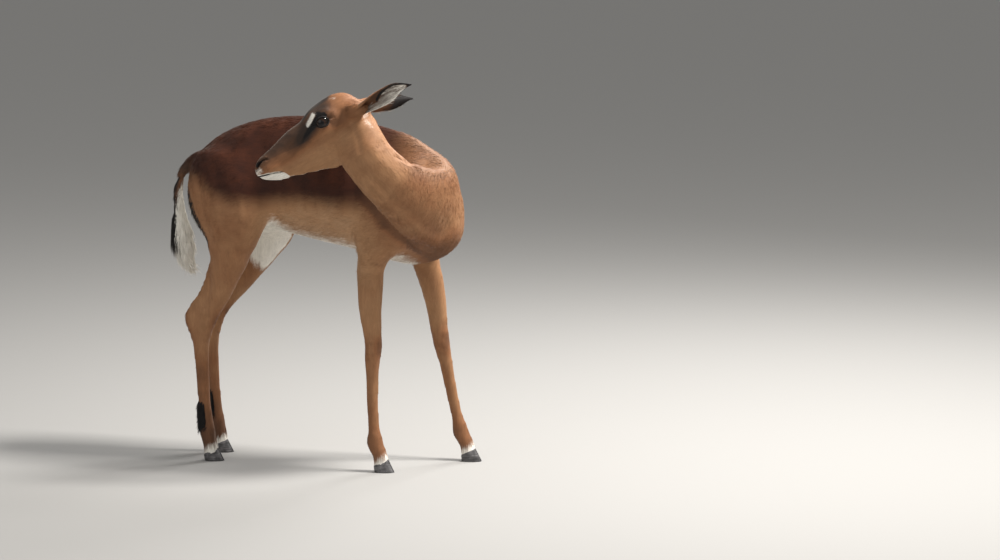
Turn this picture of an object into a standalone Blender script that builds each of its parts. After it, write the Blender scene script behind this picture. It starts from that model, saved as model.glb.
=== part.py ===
"""A life-size impala ewe, standing still and looking back over her right side.

The body is modelled whole, from lofted trunk, neck, head and limbs melted into one
surface, and then parted with thin cuts into the nodes that a person would name.
Metres, +Z up. She faces +X, her left side is +Y, and the floor is Z = 0.
"""
import math

import bmesh
import bpy
import numpy as np
from mathutils import Matrix, Vector

# ---------------------------------------------------------------- driving sizes, in metres
SHIFT = Vector((0.025, 0.065, 0.0))   # brings the middle of her box over the origin
CUT = 0.0006                        # width of the thin cuts that part the flesh
FIT = 0.0004                        # air between an eye, ear or hoof and the flesh by it
CORE_VOXEL = 0.008                  # fineness at which trunk, neck and haunches melt
BODY_VOXEL = 0.0045                 # fineness at which head and limbs join them
RING = 28                           # points round a section
BODY_TRIANGLES = 4600               # faces left in the flesh before it is parted

POLL = Vector((0.133, -0.164, 0.895))               # top of the head, between the ears
AHEAD = Vector((-0.733, -0.351, -0.583)).normalized()   # from the poll to the nose tip
CROWN = (Vector((0, 0, 1)) - AHEAD * AHEAD.z).normalized()
CHEEK = CROWN.cross(AHEAD)                           # her head's own left

EYE = (0.096, 0.003, 0.0330)        # middle of the left eye: ahead, crown-wards, left
EYE_RADIUS = 0.0175
EAR_WALL = 0.0034
SPINE_BEND = 0.25                   # how far the chest swings right as she looks back

# Trunk: x, top, then width and height of three points down the side, and the underside.
TRUNK = [
    (-0.352, 0.708, 0.022, 0.699, 0.036, 0.668, 0.024, 0.634, 0.624),
    (-0.325, 0.742, 0.034, 0.729, 0.066, 0.674, 0.052, 0.602, 0.578),
    (-0.265, 0.787, 0.048, 0.768, 0.084, 0.690, 0.072, 0.604, 0.552),
    (-0.185, 0.817, 0.050, 0.797, 0.090, 0.712, 0.078, 0.620, 0.560),
    (-0.100, 0.830, 0.048, 0.809, 0.098, 0.712, 0.084, 0.604, 0.545),
    (0.000, 0.832, 0.042, 0.811, 0.110, 0.692, 0.092, 0.584, 0.527),
    (0.080, 0.825, 0.038, 0.803, 0.112, 0.678, 0.088, 0.566, 0.513),
    (0.150, 0.816, 0.032, 0.791, 0.100, 0.672, 0.078, 0.552, 0.494),
    (0.215, 0.799, 0.034, 0.770, 0.088, 0.660, 0.068, 0.552, 0.485),
    (0.265, 0.768, 0.038, 0.738, 0.074, 0.640, 0.058, 0.546, 0.492),
    (0.315, 0.706, 0.036, 0.684, 0.056, 0.612, 0.044, 0.548, 0.516),
    (0.350, 0.662, 0.024, 0.650, 0.036, 0.604, 0.026, 0.566, 0.552),
]
# Neck: x, y, z of its middle, half depth from nape to throat, half width.
NECK = [
    (0.150, 0.004, 0.660, 0.130, 0.078),
    (0.220, -0.010, 0.650, 0.124, 0.076),
    (0.274, -0.046, 0.640, 0.112, 0.068),
    (0.283, -0.107, 0.645, 0.096, 0.056),
    (0.241, -0.163, 0.685, 0.073, 0.046),
    (0.186, -0.188, 0.741, 0.064, 0.042),
    (0.147, -0.186, 0.793, 0.063, 0.042),
    (0.124, -0.176, 0.832, 0.057, 0.041),
    (0.110, -0.174, 0.858, 0.038, 0.030),
]
# Head, in its own frame: ahead of the poll, top, three points down the side, underside.
HEAD = [
    (-0.006, -0.014, 0.020, -0.022, 0.032, -0.045, 0.020, -0.072, -0.082),
    (0.018, 0.022, 0.026, 0.011, 0.038, -0.028, 0.030, -0.072, -0.094),
    (0.044, 0.035, 0.030, 0.024, 0.041, -0.015, 0.034, -0.080, -0.116),
    (0.070, 0.042, 0.034, 0.030, 0.046, -0.002, 0.035, -0.074, -0.121),
    (0.095, 0.042, 0.036, 0.031, 0.048, 0.002, 0.033, -0.068, -0.119),
    (0.118, 0.039, 0.031, 0.029, 0.043, -0.006, 0.028, -0.066, -0.111),
    (0.145, 0.035, 0.023, 0.027, 0.034, -0.014, 0.021, -0.062, -0.099),
    (0.175, 0.031, 0.018, 0.024, 0.027, -0.018, 0.016, -0.056, -0.085),
    (0.205, 0.027, 0.016, 0.019, 0.023, -0.015, 0.014, -0.050, -0.072),
    (0.235, 0.022, 0.016, 0.013, 0.022, -0.013, 0.015, -0.040, -0.057),
    (0.258, 0.020, 0.015, 0.010, 0.021, -0.012, 0.015, -0.036, -0.051),
    (0.276, 0.015, 0.012, 0.006, 0.0185, -0.011, 0.013, -0.030, -0.040),
    (0.288, 0.005, 0.008, 0.000, 0.013, -0.010, 0.009, -0.020, -0.027),
    (0.2925, -0.004, 0.004, -0.006, 0.006, -0.010, 0.004, -0.014, -0.017),
]
# Limbs: x, y, z of the middle, half depth fore and aft, half width.
THIGH = [
    (-0.225, 0.050, 0.735, 0.090, 0.040),
    (-0.230, 0.064, 0.680, 0.106, 0.048),
    (-0.226, 0.072, 0.620, 0.108, 0.047),
    (-0.218, 0.078, 0.560, 0.084, 0.043),
    (-0.222, 0.080, 0.510, 0.056, 0.034),
    (-0.230, 0.080, 0.480, 0.032, 0.022),
]
HIND = [
    (-0.222, 0.078, 0.560, 0.070, 0.036),
    (-0.224, 0.080, 0.500, 0.052, 0.033),
    (-0.234, 0.080, 0.455, 0.038, 0.026),
    (-0.247, 0.078, 0.415, 0.030, 0.020),
    (-0.268, 0.076, 0.375, 0.026, 0.0165),
    (-0.288, 0.075, 0.343, 0.0275, 0.0165),
    (-0.298, 0.075, 0.312, 0.0255, 0.0165),
    (-0.302, 0.075, 0.270, 0.0200, 0.0145),
    (-0.2985, 0.075, 0.200, 0.0172, 0.0130),
    (-0.294, 0.075, 0.130, 0.0165, 0.0130),
    (-0.289, 0.075, 0.085, 0.0185, 0.0155),
    (-0.287, 0.075, 0.066, 0.0205, 0.0175),
    (-0.281, 0.075, 0.043, 0.0175, 0.0170),
    (-0.2775, 0.075, 0.022, 0.0180, 0.0185),
    (-0.276, 0.075, 0.008, 0.0190, 0.0190),
]
WEB = [
    (-0.248, 0.080, 0.480, 0.024, 0.012),
    (-0.268, 0.079, 0.430, 0.022, 0.0070),
    (-0.290, 0.077, 0.390, 0.022, 0.0065),
    (-0.312, 0.075, 0.352, 0.020, 0.0080),
    (-0.314, 0.075, 0.325, 0.014, 0.0080),
]
TENDON = [
    (-0.262, 0.080, 0.480, 0.014, 0.012),
    (-0.286, 0.079, 0.430, 0.0085, 0.0075),
    (-0.310, 0.077, 0.390, 0.0070, 0.0065),
    (-0.331, 0.075, 0.358, 0.0085, 0.0080),
    (-0.335, 0.075, 0.340, 0.0100, 0.0095),
    (-0.324, 0.075, 0.308, 0.0090, 0.0090),
    (-0.314, 0.075, 0.270, 0.0070, 0.0080),
]
SHOULDER = [
    (0.205, 0.052, 0.720, 0.062, 0.030),
    (0.195, 0.062, 0.660, 0.080, 0.034),
    (0.180, 0.068, 0.600, 0.080, 0.034),
    (0.155, 0.072, 0.545, 0.060, 0.030),
    (0.142, 0.076, 0.505, 0.040, 0.026),
    (0.137, 0.078, 0.480, 0.026, 0.018),
]
FORE_RIGHT = [
    (0.150, -0.072, 0.545, 0.050, 0.028),
    (0.137, -0.078, 0.490, 0.036, 0.026),
    (0.1355, -0.082, 0.440, 0.032, 0.024),
    (0.1365, -0.085, 0.385, 0.0285, 0.0215),
    (0.143, -0.087, 0.325, 0.0225, 0.0190),
    (0.1455, -0.088, 0.300, 0.0215, 0.0205),
    (0.143, -0.088, 0.270, 0.0200, 0.0180),
    (0.142, -0.088, 0.235, 0.0165, 0.0145),
    (0.142, -0.087, 0.171, 0.0150, 0.0125),
    (0.1445, -0.086, 0.105, 0.0145, 0.0130),
    (0.147, -0.086, 0.085, 0.0185, 0.0155),
    (0.148, -0.086, 0.066, 0.0205, 0.0175),
    (0.160, -0.086, 0.043, 0.0175, 0.0170),
    (0.1635, -0.086, 0.022, 0.0180, 0.0185),
    (0.165, -0.086, 0.008, 0.0190, 0.0190),
]
FORE_LEFT = [
    (0.200, 0.066, 0.560, 0.050, 0.028),
    (0.215, 0.074, 0.490, 0.036, 0.027),
    (0.226, 0.082, 0.440, 0.031, 0.024),
    (0.2350, 0.091, 0.385, 0.0265, 0.0215),
    (0.2400, 0.099, 0.325, 0.0225, 0.0190),
    (0.2430, 0.102, 0.300, 0.0215, 0.0205),
    (0.2470, 0.106, 0.270, 0.0195, 0.0180),
    (0.2540, 0.110, 0.235, 0.0170, 0.0145),
    (0.2645, 0.116, 0.171, 0.0150, 0.0125),
    (0.2765, 0.122, 0.110, 0.0145, 0.0130),
    (0.2820, 0.124, 0.086, 0.0185, 0.0155),
    (0.2860, 0.125, 0.066, 0.0205, 0.0175),
    (0.2995, 0.126, 0.043, 0.0175, 0.0170),
    (0.3050, 0.126, 0.022, 0.0180, 0.0185),
    (0.3070, 0.126, 0.008, 0.0190, 0.0190),
]
TAIL = [
    (-0.322, 0.000, 0.728, 0.016, 0.018),
    (-0.352, 0.000, 0.712, 0.014, 0.017),
    (-0.378, 0.000, 0.684, 0.012, 0.015),
    (-0.389, 0.000, 0.645, 0.012, 0.014),
    (-0.388, 0.000, 0.590, 0.013, 0.014),
    (-0.384, 0.000, 0.540, 0.018, 0.016),
    (-0.377, 0.000, 0.500, 0.020, 0.016),
    (-0.363, 0.000, 0.465, 0.012, 0.010),
    (-0.353, 0.000, 0.446, 0.003, 0.003),
]
# Ears, in the head's frame: the middle of the back of the shell from root to tip.
EAR_PATHS = {
    "left": [(0.024, -0.018, 0.030), (-0.012, -0.019, 0.053), (-0.048, -0.019, 0.070),
             (-0.086, -0.025, 0.082), (-0.122, -0.042, 0.088)],
    "right": [(0.024, -0.022, 0.030), (-0.010, -0.036, 0.053), (-0.040, -0.052, 0.070),
              (-0.074, -0.071, 0.081), (-0.107, -0.092, 0.086)],
}
# Radius, half spread in degrees, and the way the opening faces: ahead, crown-wards, outwards.
EAR_SHAPE = [
    (0.0150, 150, 0.3, -0.35, 1.0),
    (0.0180, 118, 0.3, -0.35, 1.0),
    (0.0230, 84, 0.25, -0.40, 1.0),
    (0.0215, 58, 0.2, -0.40, 1.0),
    (0.0040, 40, 0.2, -0.40, 1.0),
]
# Feet: x of the toe tip, y of the cleft, turn outwards in degrees.
FEET = {
    "foreleg_right": (0.196, -0.086, -3),
    "foreleg_left": (0.338, 0.127, 5),
    "hindleg_right": (-0.245, -0.075, -3),
    "hindleg_left": (-0.271, 0.045, 3),
}
HOOF_LENGTH, HOOF_WIDTH = 0.047, 0.0180
HOOF_FRONT, HOOF_HEEL = 0.031, 0.015        # height of the coronet at its front and heel
CORONET_FRONT, CORONET_HEEL = -0.0165, -0.0490  # how far these lie behind the toe tip
CLEFT = 0.0030
FAR_HIND = Vector((-0.026, -0.030, 0.0))    # the left hind foot, from the right one mirrored
# A place on each part, by which it is named once the flesh is cut.
SEEDS = {
    "trunk": (0.0, 0.0, 0.83), "neck": (0.215, -0.200, 0.700), "head": tuple(POLL + AHEAD * 0.2),
    "tail": (-0.388, 0.0, 0.56),
    "foreleg_right_upper": (0.137, -0.083, 0.40), "foreleg_right_lower": (0.142, -0.088, 0.17),
    "foreleg_left_upper": (0.235, 0.090, 0.40), "foreleg_left_lower": (0.265, 0.116, 0.17),
    "hindleg_right_upper": (-0.245, -0.078, 0.42), "hindleg_right_lower": (-0.298, -0.075, 0.20),
    "hindleg_left_upper": (-0.255, 0.070, 0.42), "hindleg_left_lower": (-0.325, 0.045, 0.20),
}
COLOURS = {"tail": (0.55, 0.45, 0.36), "trunk": (0.36, 0.16, 0.075)}


# ---------------------------------------------------------------- small tools
def clear_scene():
    for obj in list(bpy.data.objects):
        bpy.data.objects.remove(obj, do_unlink=True)


def spline(a, b, c, d, t):
    """A point between b and c on the smooth Catmull-Rom curve through all four."""
    return 0.5 * (2 * b + (c - a) * t + (2 * a - 5 * b + 4 * c - d) * t ** 2
                  + (3 * b - a - 3 * c + d) * t ** 3)


def smooth_rows(rows, steps):
    """Rows of numbers joined by a smooth curve, with this many steps to each gap."""
    rows = np.array(rows, float)
    padded = np.vstack([2 * rows[0] - rows[1], rows, 2 * rows[-1] - rows[-2]])
    made = [spline(*padded[k - 1:k + 3], t)
            for k in range(1, len(padded) - 2) for t in np.arange(steps) / steps]
    return np.array(made + [rows[-1]])


def closed_outline(corners, count):
    """Points evenly spaced along a smooth closed curve through the corners."""
    corners = np.array(corners, float)
    n = len(corners)
    fine = [spline(*(corners[(k + j) % n] for j in (-1, 0, 1, 2)), t)
            for k in range(n) for t in np.arange(12) / 12]
    fine = np.array(fine + fine[:1])
    run = np.concatenate([[0], np.cumsum(np.linalg.norm(np.diff(fine, axis=0), axis=1))])
    wanted = np.arange(count) / count * run[-1]
    return np.stack([np.interp(wanted, run, fine[:, j]) for j in (0, 1)], 1)


def link(name, mesh):
    obj = bpy.data.objects.new(name, mesh)
    bpy.context.scene.collection.objects.link(obj)
    return obj


def mesh_object(name, points, faces):
    """A closed mesh whose faces look outwards."""
    mesh = bpy.data.meshes.new(name)
    mesh.from_pydata([tuple(p) for p in points], [], faces)
    bm = bmesh.new()
    bm.from_mesh(mesh)
    bmesh.ops.recalc_face_normals(bm, faces=bm.faces)
    bm.to_mesh(mesh)
    bm.free()
    return link(name, mesh)


def loft(name, rings):
    """A closed skin over rings of equal count, each end closed round its middle."""
    count = len(rings[0])
    points = [p for ring in rings for p in ring]
    faces = []
    for i in range(len(rings) - 1):
        for j in range(count):
            a, b = i * count + j, i * count + (j + 1) % count
            faces.append((a, b, b + count, a + count))
    for base, ring in ((0, rings[0]), ((len(rings) - 1) * count, rings[-1])):
        middle = len(points)
        points.append(np.mean(ring, axis=0))
        faces += [(base + j, base + (j + 1) % count, middle) for j in range(count)]
    return mesh_object(name, points, faces)


def tube(name, rows, first_front, last_front=None, steps=5, shift=(0, 0, 0)):
    """A limb with elliptical sections, its deep direction turned towards the front."""
    rows = smooth_rows(rows, steps)
    rows[:, :3] += np.array(shift)
    along = np.gradient(rows[:, :3], axis=0)
    first, last = Vector(first_front), Vector(last_front or first_front)
    rings = []
    for k, row in enumerate(rows):
        t = Vector(along[k]).normalized()
        side = t.cross(first.lerp(last, k / (len(rows) - 1))).normalized()
        front = side.cross(t).normalized()
        rings.append([np.array(Vector(row[:3]) + front * (math.cos(a) * row[3])
                               + side * (math.sin(a) * row[4]))
                      for a in np.arange(RING) * math.tau / RING])
    return loft(name, rings)


def mirrored(rows):
    return [(x, -y, *rest) for x, y, *rest in rows]


def blob(name, centre, radii, axes=None):
    """A muscle or knob of bone: an ellipsoid, along the given axes or the world's."""
    bm = bmesh.new()
    bmesh.ops.create_icosphere(bm, subdivisions=3, radius=1)
    mesh = bpy.data.meshes.new(name)
    bm.to_mesh(mesh)
    bm.free()
    frame = Matrix(axes).transposed().to_4x4() if axes else Matrix.Identity(4)
    if frame.determinant() < 0:
        frame = frame @ Matrix.Diagonal((1, 1, -1, 1))
    mesh.transform(Matrix.Translation(centre) @ frame @ Matrix.Diagonal((*radii, 1)))
    return link(name, mesh)


def joined(name, parts):
    """One object holding the meshes of all the parts, which are removed."""
    bm = bmesh.new()
    for part in parts:
        bm.from_mesh(part.data)
        bpy.data.objects.remove(part, do_unlink=True)
    mesh = bpy.data.meshes.new(name)
    bm.to_mesh(mesh)
    bm.free()
    return link(name, mesh)


def applied(obj):
    """Turns the object's modifiers into its mesh."""
    graph = bpy.context.evaluated_depsgraph_get()
    graph.update()
    mesh = bpy.data.meshes.new_from_object(obj.evaluated_get(graph))
    obj.modifiers.clear()
    obj.data = mesh
    return obj


def melted(obj, voxel, rounds):
    """Melts overlapping skins into one and softens the creases where they meet."""
    remesh = obj.modifiers.new("melt", "REMESH")
    remesh.mode = "VOXEL"
    remesh.voxel_size = voxel
    soften = obj.modifiers.new("soften", "SMOOTH")
    soften.factor = 0.5
    soften.iterations = rounds
    return applied(obj)


def boolean(obj, other, operation):
    change = obj.modifiers.new("change", "BOOLEAN")
    change.operation = operation
    change.object = other
    change.solver = "EXACT"
    applied(obj)
    bpy.data.objects.remove(other, do_unlink=True)
    return obj


def on_head(ahead, up, left):
    """A point of the head's own frame, in the world's."""
    return POLL + AHEAD * ahead + CROWN * up + CHEEK * left


# ---------------------------------------------------------------- flesh
def section_loft(name, rows, steps, place):
    """Lofts mirrored sections given by a top, three side points and an underside."""
    rings = []
    for at, top, w1, z1, w2, z2, w3, z3, low in smooth_rows(rows, steps):
        half = [(0, top), (w1, z1), (w2, z2), (w3, z3), (0, low)]
        corners = half + [(-w, z) for w, z in half[-2:0:-1]]
        rings.append([np.array(place(at, w, z)) for w, z in closed_outline(corners, RING)])
    return loft(name, rings)


def trunk():
    def place(x, y, z):
        return x, y - SPINE_BEND * max(0.0, x + 0.05) ** 2, z
    return section_loft("trunk_core", TRUNK, 4, place)


def build_core():
    """Trunk, neck, haunches and shoulders, melted and well softened."""
    parts = [trunk(), tube("neck_core", NECK, (0, 0, 1), -AHEAD)]
    parts.append(blob("neck_root", (0.238, -0.048, 0.706), (0.064, 0.060, 0.050)))
    parts.append(blob("breast", (0.272, -0.058, 0.572), (0.074, 0.060, 0.052)))
    left_thigh = [(x + 0.025 * min(1, max(0, (0.70 - z) / 0.1)), y, z, depth, width)
                  for x, y, z, depth, width in THIGH]
    for rows in (left_thigh, mirrored(THIGH)):
        parts.append(tube("thigh_core", rows, (1, 0, 0)))
    left_shoulder = [(x + 0.078 * min(1, max(0, (0.68 - z) / 0.18)), y, z, depth, width)
                     for x, y, z, depth, width in SHOULDER]
    for rows in (left_shoulder, mirrored(SHOULDER)):
        parts.append(tube("shoulder_core", rows, (1, 0, 0), shift=(0, -0.012, 0)))
    return melted(joined("core", parts), CORE_VOXEL, 24)


def build_head():
    """The head with the rims of its eye sockets."""
    parts = [section_loft("head_core", HEAD, 4, lambda ahead, w, n: on_head(ahead, n, w))]
    for side in (1, -1):
        ahead, up, left = EYE
        parts.append(blob("orbit", on_head(ahead, up + 0.002, side * (left - 0.004)),
                          (0.029, 0.026, 0.0210), (AHEAD, CROWN, CHEEK)))
        parts.append(blob("jaw", on_head(0.092, -0.062, side * 0.018),
                          (0.040, 0.036, 0.019), (AHEAD, CROWN, CHEEK)))
    return joined("head_parts", parts)


def leg_rows():
    """The six limb tubes: the left hind leg stands a little back and under the body."""
    def stepped(rows):
        made = []
        for x, y, z, depth, width in rows:
            low = min(1.0, max(0.0, (0.56 - z) / 0.20))
            made.append((x + FAR_HIND.x * low + 0.030 * (1 - low), y + FAR_HIND.y * low, z,
                         depth, width))
        return made
    return {"hindleg_right": [mirrored(rows) for rows in (HIND, WEB, TENDON)],
            "hindleg_left": [stepped(rows) for rows in (HIND, WEB, TENDON)],
            "foreleg_right": [FORE_RIGHT], "foreleg_left": [FORE_LEFT]}


def build_flesh():
    """The whole body as one surface."""
    parts = [build_core(), build_head(), tube("tail_core", TAIL, (1, 0, 0))]
    for tubes in leg_rows().values():
        parts += [tube("limb", rows, (1, 0, 0)) for rows in tubes]
    return melted(joined("flesh", parts), BODY_VOXEL, 3)


def thinned(obj, faces):
    """Fewer, larger faces, smallest where the form is finest."""
    thin = obj.modifiers.new("thin", "DECIMATE")
    thin.ratio = faces / sum(len(p.vertices) - 2 for p in obj.data.polygons)
    thin.use_collapse_triangulate = True
    return applied(obj)


# ---------------------------------------------------------------- parting cuts
def slab(centre, normal, along, half_along, half_side, thickness=CUT):
    """A thin block that parts the flesh where it passes through."""
    w = Vector(normal).normalized()
    u = (Vector(along) - w * w.dot(Vector(along))).normalized()
    v = w.cross(u)
    corners = [Vector(centre) + u * (a * half_along) + v * (b * half_side)
               + w * (c * thickness / 2)
               for a in (-1, 1) for b in (-1, 1) for c in (-1, 1)]
    faces = [(0, 1, 3, 2), (4, 6, 7, 5), (0, 4, 5, 1), (2, 3, 7, 6), (0, 2, 6, 4), (1, 5, 7, 3)]
    return mesh_object("slab", corners, faces)


def parting_slabs():
    """Where the body is parted: behind the jaw, at neck, tail and leg roots, and at joints."""
    slabs = [
        slab(on_head(0.054, -0.122, 0.034), CROWN + AHEAD * 0.10 - CHEEK * 0.30, AHEAD,
             0.068, 0.058),
        slab((0.232, -0.168, 0.702), (-0.66, -0.40, 0.64), (0, 0, 1), 0.078, 0.060),
        slab((-0.383, 0, 0.672), (-0.20, 0, -1), (1, 0, 0), 0.022, 0.024),
    ]
    for side in (1, -1):
        slabs.append(slab((-0.222, 0.080 * side, 0.528), (0, 0, 1), (1, 0, 0), 0.120, 0.068))
    for x, y in ((0.137, -0.078), (0.222, 0.080)):
        slabs.append(slab((x, y, 0.462), (0, 0, 1), (1, 0, 0), 0.055, 0.050))
    for x, y in ((0.145, -0.088), (0.243, 0.102)):
        slabs.append(slab((x, y, 0.296), (0.1, 0, 1), (1, 0, 0), 0.040, 0.035))
    for x, y in ((-0.300, -0.075), (-0.326, 0.045)):
        slabs.append(slab((x, y, 0.322), (0.25, 0, 1), (1, 0, 0), 0.060, 0.035))
    return slabs


# ---------------------------------------------------------------- eyes, ears and hooves
def ball(name, centre, radius):
    return blob(name, centre, (radius,) * 3, (AHEAD, CROWN, CHEEK))


def ear(name, side, path):
    """A thin curved shell, rolled into a tube at its root and opening to a leaf."""
    rows = smooth_rows([(*p, *shape) for p, shape in zip(path, EAR_SHAPE)], 3)
    line = [on_head(a, u, left * side) for a, u, left, *rest in rows]
    points, faces, half = [], [], 8
    for k, row in enumerate(rows):
        radius, spread = row[3], math.radians(row[4])
        t = (line[min(k + 1, len(line) - 1)] - line[max(k - 1, 0)]).normalized()
        opening = AHEAD * row[5] + CROWN * row[6] + CHEEK * (row[7] * side)
        opening = (opening - t * opening.dot(t)).normalized()
        across = t.cross(opening)
        wall = EAR_WALL * min(1.0, 0.35 + radius / 0.02)
        for inward, order in ((0, range(half)), (1, reversed(range(half)))):
            for j in order:
                a = spread * (2 * j / (half - 1) - 1)
                thick = inward * wall * (0.45 + 0.55 * math.cos(a * 90 / max(row[4], 1)))
                r = radius - thick
                points.append(line[k] + opening * (radius - r * math.cos(a))
                              + across * (r * math.sin(a)))
    ring = 2 * half
    for k in range(len(rows) - 1):
        for j in range(ring):
            a, b = k * ring + j, k * ring + (j + 1) % ring
            faces.append((a, b, b + ring, a + ring))
    for base in (0, (len(rows) - 1) * ring):
        faces += [(base + j, base + j + 1, base + ring - 2 - j, base + ring - 1 - j)
                  for j in range(half - 1)]
    return mesh_object(name, points, faces)


def coronet_height(x):
    """Height of the tilted plane where horn meets hair, at x ahead of the toe tip."""
    slope = (HOOF_FRONT - HOOF_HEEL) / (CORONET_FRONT - CORONET_HEEL)
    return HOOF_FRONT + slope * (x - CORONET_FRONT)


def hoof(name, toe, turn, side):
    """One of a foot's two hooves: flat sole, sloping front, tilted coronet."""
    outline = [(0.000, 0.10), (-0.004, 0.42), (-0.012, 0.76), (-0.023, 0.96), (-0.034, 1.0),
               (-0.042, 0.88), (-0.047, 0.50)]
    rings = []
    for level in (0.0, 0.06, 0.5, 1.0):
        ring = []
        flat = [(x, w) for x, w in outline] + [(x, None) for x, w in outline[::-1]]
        for x, w in flat:
            crown_x = CORONET_FRONT + (CORONET_HEEL - CORONET_FRONT) * -x / HOOF_LENGTH
            swell = 1.0 - 0.06 * level - (0.07 if level == 0 else 0)
            half = CLEFT / 2 if w is None else CLEFT / 2 + HOOF_WIDTH * w * swell
            ring.append(Vector((x + (crown_x - x) * level, half * side,
                                coronet_height(crown_x) * level)))
        rings.append(ring)
    spin = Matrix.Rotation(math.radians(turn), 4, "Z")
    place = Matrix.Translation((toe[0], toe[1], 0)) @ spin
    return loft(name, [[np.array(place @ p) for p in ring] for ring in rings])


def coronet_block(toe, turn):
    """The space under a foot's coronet, cleared of flesh for the hooves."""
    points = []
    for x in (-0.080, 0.030):
        for y in (-0.040, 0.040):
            points += [Vector((x, y, -0.02)), Vector((x, y, coronet_height(x) + FIT))]
    spin = Matrix.Rotation(math.radians(turn), 4, "Z")
    place = Matrix.Translation((toe[0], toe[1], 0)) @ spin
    faces = [(0, 1, 3, 2), (4, 6, 7, 5), (0, 4, 5, 1), (2, 3, 7, 6), (0, 2, 6, 4), (1, 5, 7, 3)]
    return mesh_object("coronet", [place @ p for p in points], faces)


# ---------------------------------------------------------------- parting and naming
def loose_parts(obj):
    """The object's separate shells, each as points and faces."""
    bm = bmesh.new()
    bm.from_mesh(obj.data)
    bm.verts.ensure_lookup_table()
    seen, shells = set(), []
    for start in bm.verts:
        if start.index in seen:
            continue
        seen.add(start.index)
        shell, queue = [], [start]
        while queue:
            v = queue.pop()
            shell.append(v)
            for e in v.link_edges:
                other = e.other_vert(v)
                if other.index not in seen:
                    seen.add(other.index)
                    queue.append(other)
        number = {v.index: k for k, v in enumerate(shell)}
        faces = {f.index: f for v in shell for f in v.link_faces}
        shells.append(([v.co.copy() for v in shell],
                       [tuple(number[v.index] for v in f.verts) for f in faces.values()]))
    bm.free()
    return sorted(shells, key=lambda shell: -len(shell[0]))


def nearest_name(points, seeds):
    """The seed whose place lies closest to any point of the shell."""
    def gap(seed):
        return min((p - Vector(seeds[seed])).length for p in points)
    return min(seeds, key=gap)


def material(name, colour, roughness):
    made = bpy.data.materials.new(name)
    made.use_nodes = True
    shader = made.node_tree.nodes["Principled BSDF"]
    shader.inputs["Base Color"].default_value = (*colour, 1)
    shader.inputs["Roughness"].default_value = roughness
    shader.inputs["Metallic"].default_value = 0.0
    return made


def finish(obj, name, colour, roughness):
    """Names the node, moves it to its place over the origin and gives it its material."""
    obj.name = obj.data.name = name
    obj.data.transform(Matrix.Translation(SHIFT))
    obj.data.materials.clear()
    obj.data.materials.append(material(name + "_coat", colour, roughness))
    for face in obj.data.polygons:
        face.use_smooth = len(face.vertices) < 5


if __name__ == "__main__":
    clear_scene()
    flesh = thinned(build_flesh(), BODY_TRIANGLES)
    for name, (x, y, turn) in FEET.items():
        flesh = boolean(flesh, coronet_block((x, y), turn), "DIFFERENCE")
    for side in (1, -1):
        socket = ball("socket", on_head(EYE[0], EYE[1], side * EYE[2]), EYE_RADIUS + FIT)
        flesh = boolean(flesh, socket, "DIFFERENCE")
    for block in parting_slabs():
        flesh = boolean(flesh, block, "DIFFERENCE")

    nodes = {}
    for points, faces in loose_parts(flesh):
        name = nearest_name(points, SEEDS)
        if name not in nodes:
            nodes[name] = mesh_object(name, points, faces)
    bpy.data.objects.remove(flesh, do_unlink=True)

    for side, word in ((1, "left"), (-1, "right")):
        nodes["eye_" + word] = ball("eye", on_head(EYE[0], EYE[1], side * EYE[2]), EYE_RADIUS)
        shell = ear("ear", side, EAR_PATHS[word])
        keep = mesh_object("head_copy", *loose_parts(nodes["head"])[0])
        swell = keep.modifiers.new("swell", "DISPLACE")
        swell.mid_level = 0.0
        swell.strength = FIT
        shell = boolean(shell, applied(keep), "DIFFERENCE")
        nodes["ear_" + word] = mesh_object("ear", *loose_parts(shell)[0])
        bpy.data.objects.remove(shell, do_unlink=True)
    for name, (x, y, turn) in FEET.items():
        outer = 1 if y > 0 else -1
        for side, word in ((outer, "outer"), (-outer, "inner")):
            nodes[f"{name}_hoof_{word}"] = hoof("hoof", (x, y), turn, side)

    for name, obj in nodes.items():
        if "eye" in name:
            finish(obj, name, (0.02, 0.012, 0.008), 0.15)
        elif "hoof" in name:
            finish(obj, name, (0.035, 0.03, 0.027), 0.45)
        else:
            finish(obj, name, COLOURS.get(name, (0.42, 0.21, 0.10)), 0.85)
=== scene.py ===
# %% [markdown]
# # A life-size impala ewe
# This lesson dresses a packed set of plain solids as an impala, standing and looking back
# over her right side, like a museum's still model. The solids give every place and size.
# One fine skin takes the place of the flesh, with eyes, ears and hooves of their own, and
# a coat of small tufts follows the lie of the hair. The first cell loads the solids.

import math

import bmesh
import bpy
import numpy as np
from mathutils import Matrix, Vector
from mathutils.bvhtree import BVHTree


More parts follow.
